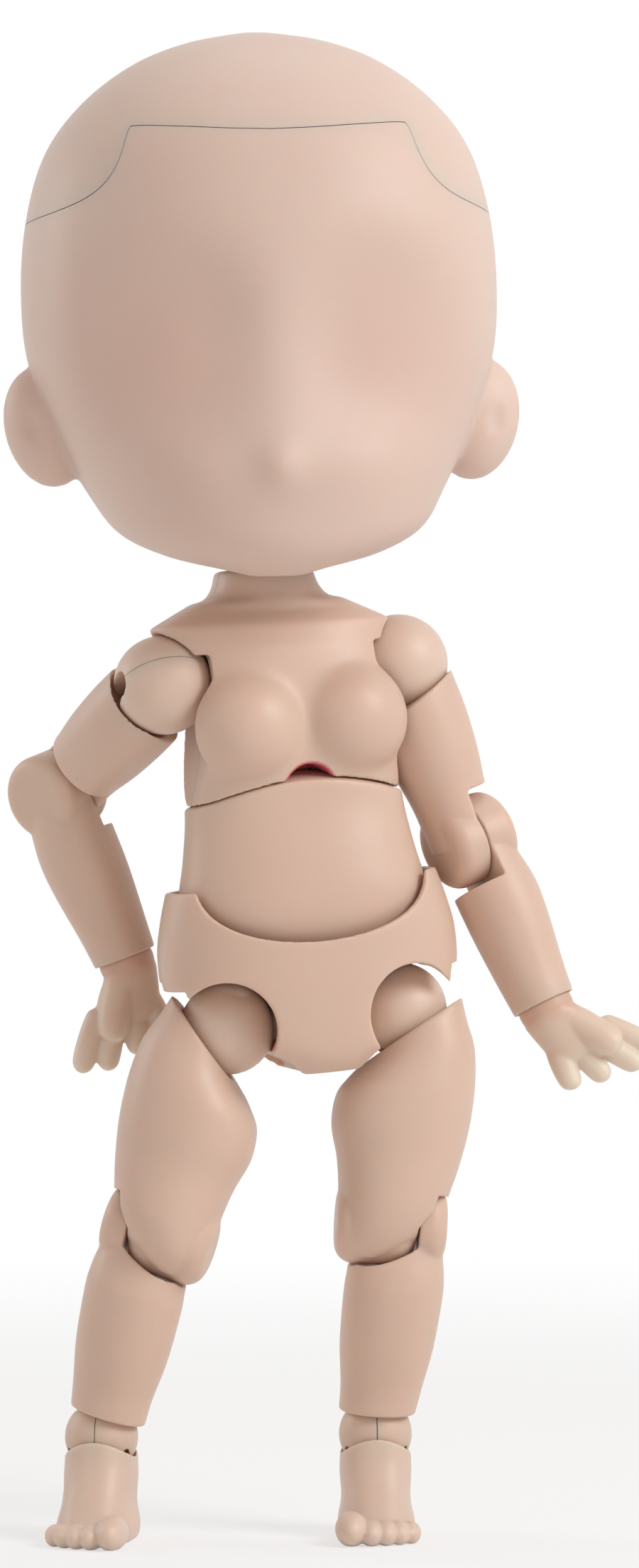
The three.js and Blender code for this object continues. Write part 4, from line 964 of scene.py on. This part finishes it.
def makeAnkleBall():
    a = ankleBall
    whole = ball(a["radius"], segments=64)
    post = tongueRoom(a["tongue"], a["thickness"], a["stem"], 180 - a["roll"], 180 + a["roll"], voxel=0.12)
    half, deep = forkSlot["half"], forkSlot["depth"]
    forks = []
    for s in (-1, 1):
        disc = rod(a["tongue"], -half, half, "x", segments=32)
        slots = [tilted(block((-half, -deep, -6), (half, deep, 0)), angle, "X") for angle in forkSlot["angles"]]
        fork = remeshed(gather(disc, *slots), 0.12)
        fork.data.transform(Matrix.Translation((s * a["forkSpacing"] / 2, 0, 0)))
        forks.append(fork)
    carve(whole, post, *forks)
    return splitAtSeam(whole, a["voxel"], 3, "x")


# Head

headShape = {
    "width": 44.2, "height": 50.7, "front": 19.6, "back": 22.4, "wall": 2.0, "chin": 8.8, "split": 3.5,
    "gap": 0.07, "lipDepth": 0.7, "lipReach": 1.0, "neckHole": 6.6, "voxel": 0.3, "cornerHeight": 41.2,
    "earHeight": 11.4, "earDepth": 7.0, "earStandout": 1.9, "earWidth": 3.9, "earTilt": 12, "painted_shade": 0.24,
}
# Heights and widths as shares of the head: height, half width, front, back.
headProfile = [
    (0.0, 0.10, -0.70, 0.42), (0.012, 0.2, -0.80, 0.25), (0.04, 0.44, -0.88, 0.02), (0.085, 0.63, -0.93, -0.28),
    (0.16, 0.745, -0.965, -0.62), (0.26, 0.86, -0.985, -0.86), (0.40, 0.975, -1.0, -0.97), (0.53, 1.0, -1.0, -1.0),
    (0.66, 0.975, -0.97, -0.97), (0.78, 0.895, -0.87, -0.88), (0.87, 0.745, -0.70, -0.72),
    (0.94, 0.535, -0.49, -0.51), (0.98, 0.31, -0.28, -0.30), (1.0, 0.06, -0.05, -0.05),
]


def headSkin(wall, segments=112, rings=90):
    h = headShape
    rows = []
    for share, wide, front, back in headProfile:
        low, high = front * h["front"], -back * h["back"]
        middle = (low + high) / 2
        level = wall + share * (h["height"] - 2 * wall) - h["chin"]
        reaches = [max(v - wall, 0.4) for v in (wide * h["width"] / 2, middle - low, high - middle)]
        rows.append((level, *reaches, 0, middle))
    return loft(rows, segments, rings, 2.25)


def makeEar(s):
    h = headShape
    wide = h["earWidth"]
    shell = ellipsoid((0, 0, 0), (wide, h["earDepth"] / 2, h["earHeight"] / 2))
    carve(shell, ellipsoid((s * (wide - 1.7), -5.0, 0.2), (2.2, 2.3, h["earHeight"] * 0.34)))
    place = (s * (h["width"] / 2 + h["earStandout"] - wide), 0.2, 0.285 * h["height"] - h["chin"])
    return tilted(shell, s * h["earTilt"], "Y", place)


# The crown covers the front above this outline: a bay that dips in the middle, between two shoulders.
# Each point is a distance from the middle and a height over the corner.
crownOutline = [
    (0, -0.75), (4, -0.6), (8, -0.3), (12.0, 0), (12.7, -0.25), (13.1, -1.2), (13.6, -2.7), (14.4, -4.3),
    (15.5, -5.6), (17, -6.6), (19, -7.35), (21.4, -7.9), (26, -8.8), (32, -9.8),
]


def crownBay(lift):
    h = headShape
    top = h["cornerHeight"] - h["chin"] + lift
    steps = 6 * (len(crownOutline) - 1)
    right = [catmull(crownOutline, step / 6) for step in range(steps + 1)]
    points = [(-x, z) for x, z in reversed(right)][:-1] + right
    bm = bmesh.new()
    verts = [bm.verts.new((x, -40, top + z)) for x, z in points + [(32, 40), (-32, 40)]]
    bm.faces.new(verts)
    side = bmesh.ops.extrude_face_region(bm, geom=list(bm.faces))["geom"]
    bmesh.ops.translate(bm, vec=(0, 100, 0), verts=[v for v in side if isinstance(v, bmesh.types.BMVert)])
    return solid(bm)


# Shallow relief of the blank face, as soft mounds and hollows on both sides of the middle: distance
# from the middle, height over the chin, half width, half height, how far it comes forward, flatness.
faceRelief = [
    (9.2, 21.0, 8.0, 8.6, -1.9, 1.5),
    (5.4, 20.5, 4.4, 6.5, -0.2, 1.0),
    (0, 9.7, 1.7, 1.7, 0.55, 1.0),
    (0, 10.4, 3.0, 3.6, 0.7, 1.0),
    (8.5, 9.6, 7.2, 3.8, 0.8, 1.0),
    (0, 3.2, 4.0, 2.2, 0.3, 1.0),
    (19.2, 24, 2.4, 15, 0.5, 1.0),
]


def reliefAt(x, z):
    forward = 0
    for centre, level, wide, tall, amount, flatness in faceRelief:
        for middle in {centre, -centre}:
            away = ((x - middle) / wide) ** 2 + ((z - level) / tall) ** 2
            forward += amount * math.exp(-(away ** flatness))
    return forward


# The skin of the head with the relief pressed into its front; inner skins follow the outer one.
def faceSkin(wall, segments, rings):
    skin = headSkin(wall, segments, rings)
    for v in skin.data.vertices:
        if v.co.y < 0:
            v.co.y -= reliefAt(v.co.x, v.co.z + headShape["chin"]) * min(1, -v.co.y / 10) ** 2
    return skin


def makeHead():
    h = headShape
    outside = faceSkin(0, 144, 120)
    ears = [makeEar(1), makeEar(-1)]
    blended = remeshed(gather(outside, *ears), h["voxel"], 8)
    hollow = faceSkin(h["wall"], 72, 50)
    crisply(blended, hollow, rod(h["neckHole"], -h["chin"] - 5, 0, segments=64))
    front, back = clearanceHalves(blended, "y", h["gap"], h["split"])
    # A lip of the face plate reaches up under the crown and closes the seam from inside.
    lip = crisply(duplicate(front), faceSkin(h["lipDepth"], 96, 70), operation="INTERSECT")
    crisply(lip, crownBay(h["lipReach"]))
    room = crisply(faceSkin(h["lipDepth"] - 0.08, 96, 70), crownBay(h["lipReach"] + 0.1))
    crown = crisply(duplicate(front), crownBay(h["gap"] / 2), operation="INTERSECT")
    crisply(crown, room)
    face = crisply(front, crownBay(-h["gap"] / 2))
    crisply(face, lip, operation="UNION")

    # The hollows beside the nose are painted with a little warm shade.
    def hollowPaintedShade(p):
        away = ((abs(p.x) - 10) / 7) ** 2 + ((p.z + h["chin"] - 19.5) / 8) ** 2
        return h["painted_shade"] * math.exp(-away) if p.y < 0 else 0

    return painted(face, "painted_shade", hollowPaintedShade), crown, back


# Build

for label, maker in (("pelvis", makePelvis), ("abdomen", makeAbdomen), ("chest", makeChest)):
    for part, shape in zip(("front", "back"), maker()):
        finished(shape, f"{label}_{part}_shape", label, 1, label, bodyPlastic, "body_plastic", f"{label}_{part}")
    print(label, "made")
for label, shape in zip(("face_plate", "crown_front_shell", "head_back_shell"), makeHead()):
    finished(shape, f"{label}_shape", "head", 1, "head", headPlastic, "head_plastic", label)
print("head made")
limbs = {"upper_arm": makeUpperArm, "forearm": makeForearm, "thigh": makeThigh, "calf": makeCalf}
for label, maker in limbs.items():
    pair(maker(), label, label, bodyPlastic, "body_plastic")
# Radius of each split ball, and the angles between which its tongue swings.
for label, values in (("shoulder", (4.6, -10, 100)), ("hip", (4.4, -40, 50))):
    for part, shape in zip(("front", "back"), makeSwingBall(*values)):
        pair(shape, f"{label}_ball_{part}", label, bodyPlastic, "body_plastic", f"{label}_ball")
for part, shape in zip(("inner", "outer"), makeAnkleBall()):
    pair(shape, f"ankle_ball_{part}", "ankle", bodyPlastic, "body_plastic", "ankle_ball")
print("limbs and balls made")
pair(makeHand(), "hand", "hand", handPlastic, "hand_plastic")
pair(makeFoot(), "foot", "foot", bodyPlastic, "body_plastic")
print("hands and feet made")

# The pieces left from the model are given the painted warm shade colour.
for node in frame["nodes"].values():
    for slot in node.material_slots:
        slot.material = innerShadePlastic
print("inner pieces painted")


# Stage

# Within shadowNear the camera sees the floor partly white, as much as clearing says, and past shadowFar all white.
stage = {"floor": 3.0, "ambient": 0.36, "shadowNear": 0.10, "shadowFar": 0.34, "clearing": 0.62}
# Power in watts, size, place, the point it faces and its colour where it isn't white.
lamps = {
    "key": (2.0, 0.32, (0.42, -0.27, 0.40), (0, 0, 0.08)),
    "fill": (0.22, 0.4, (-0.5, -0.35, 0.2), (0, 0, 0.07), (1, 0.9, 0.84)),
    "glow": (0.2, 0.3, (0.06, -0.45, 0.02), (0, 0, 0.07), (1, 0.76, 0.66)),
    "top": (0.45, 0.3, (0.05, 0.1, 0.6), (0, 0, 0.07)),
    "rim": (0.45, 0.25, (-0.45, 0.16, 0.25), (0, 0, 0.07)),
}


# Is 1 for what the camera sees directly, in a reflection or through glass.
def seenByCamera(nodes, links):
    seen = nodes.new("ShaderNodeLightPath")
    direct, either = nodes.new("ShaderNodeMath"), nodes.new("ShaderNodeMath")
    direct.operation = either.operation = "MAXIMUM"
    links.new(seen.outputs["Is Camera Ray"], direct.inputs[0])
    links.new(seen.outputs["Is Glossy Ray"], direct.inputs[1])
    links.new(direct.outputs[0], either.inputs[0])
    links.new(seen.outputs["Is Transmission Ray"], either.inputs[1])
    return either.outputs[0]


# The floor takes the shadow near the doll and is white to the camera further out.
def makeFloor():
    bm = bmesh.new()
    bmesh.ops.create_grid(bm, x_segments=1, y_segments=1, size=stage["floor"] / 2)
    floor = solid(bm, "floor")
    material = bpy.data.materials.new("floor_white")
    material.use_nodes = True
    nodes, links = material.node_tree.nodes, material.node_tree.links
    shader = nodes["Principled BSDF"]
    setInputs(shader, {"Base Color": (0.9, 0.9, 0.9, 1), "Roughness": 0.9})
    white = nodes.new("ShaderNodeEmission")
    place, away = nodes.new("ShaderNodeTexCoord"), nodes.new("ShaderNodeVectorMath")
    away.operation = "LENGTH"
    fade = nodes.new("ShaderNodeMapRange")
    fade.interpolation_type = "SMOOTHSTEP"
    setInputs(fade, {1: stage["shadowNear"], 2: stage["shadowFar"], 3: stage["clearing"], 4: 1.0})
    both = nodes.new("ShaderNodeMath")
    both.operation = "MULTIPLY"
    mix = nodes.new("ShaderNodeMixShader")
    links.new(place.outputs["Object"], away.inputs[0])
    links.new(away.outputs["Value"], fade.inputs[0])
    links.new(seenByCamera(nodes, links), both.inputs[0])
    links.new(fade.outputs[0], both.inputs[1])
    links.new(both.outputs[0], mix.inputs[0])
    links.new(shader.outputs["BSDF"], mix.inputs[1])
    links.new(white.outputs["Emission"], mix.inputs[2])
    links.new(mix.outputs["Shader"], nodes["Material Output"].inputs["Surface"])
    floor.data.materials.append(material)
    return floor


def makeWorld():
    world = bpy.data.worlds.new("studio")
    scene.world = world
    world.use_nodes = True
    nodes, links = world.node_tree.nodes, world.node_tree.links
    light = nodes["Background"]
    setInputs(light, {"Color": (1.0, 0.93, 0.88, 1), "Strength": stage["ambient"]})
    white = nodes.new("ShaderNodeBackground")
    setInputs(white, {"Color": (1, 1, 1, 1), "Strength": 1})
    mix = nodes.new("ShaderNodeMixShader")
    links.new(seenByCamera(nodes, links), mix.inputs[0])
    links.new(light.outputs["Background"], mix.inputs[1])
    links.new(white.outputs["Background"], mix.inputs[2])
    links.new(mix.outputs["Shader"], nodes["World Output"].inputs["Surface"])


def makeLight(name, watts, size, place, aim, colour=(1, 1, 1)):
    data = bpy.data.lights.new(name, "AREA")
    data.energy = watts
    data.shape = "DISK"
    data.size = size
    data.color = colour
    light = bpy.data.objects.new(name, data)
    light.location = place
    light.rotation_euler = (Vector(aim) - Vector(place)).to_track_quat("-Z", "Y").to_euler()
    scene.collection.objects.link(light)


makeFloor()
makeWorld()
for name, values in lamps.items():
    makeLight(name, *values)

# In pixels of the photo: its height, the focal length and how far the axis is off the middle.
view = {
    "height": 2209, "focal": 9847.5, "right": 75, "up": -123.2, "sensor": 36,
    "place": (-0.0057571, -0.650985, 0.078),
}


def makeCamera():
    camera = bpy.data.cameras.new("camera")
    camera.sensor_fit = "VERTICAL"
    camera.sensor_height = camera.sensor_width = view["sensor"]
    camera.lens = view["sensor"] * view["focal"] / view["height"]
    camera.shift_x = view["right"] / view["height"]
    camera.shift_y = view["up"] / view["height"]
    camera.clip_start = 0.05
    obj = bpy.data.objects.new("camera", camera)
    obj.location = view["place"]
    obj.rotation_euler = (math.pi / 2, 0, 0)
    scene.collection.objects.link(obj)
    scene.camera = obj


makeCamera()
scene.view_settings.view_transform = "Standard"
print("stage set")
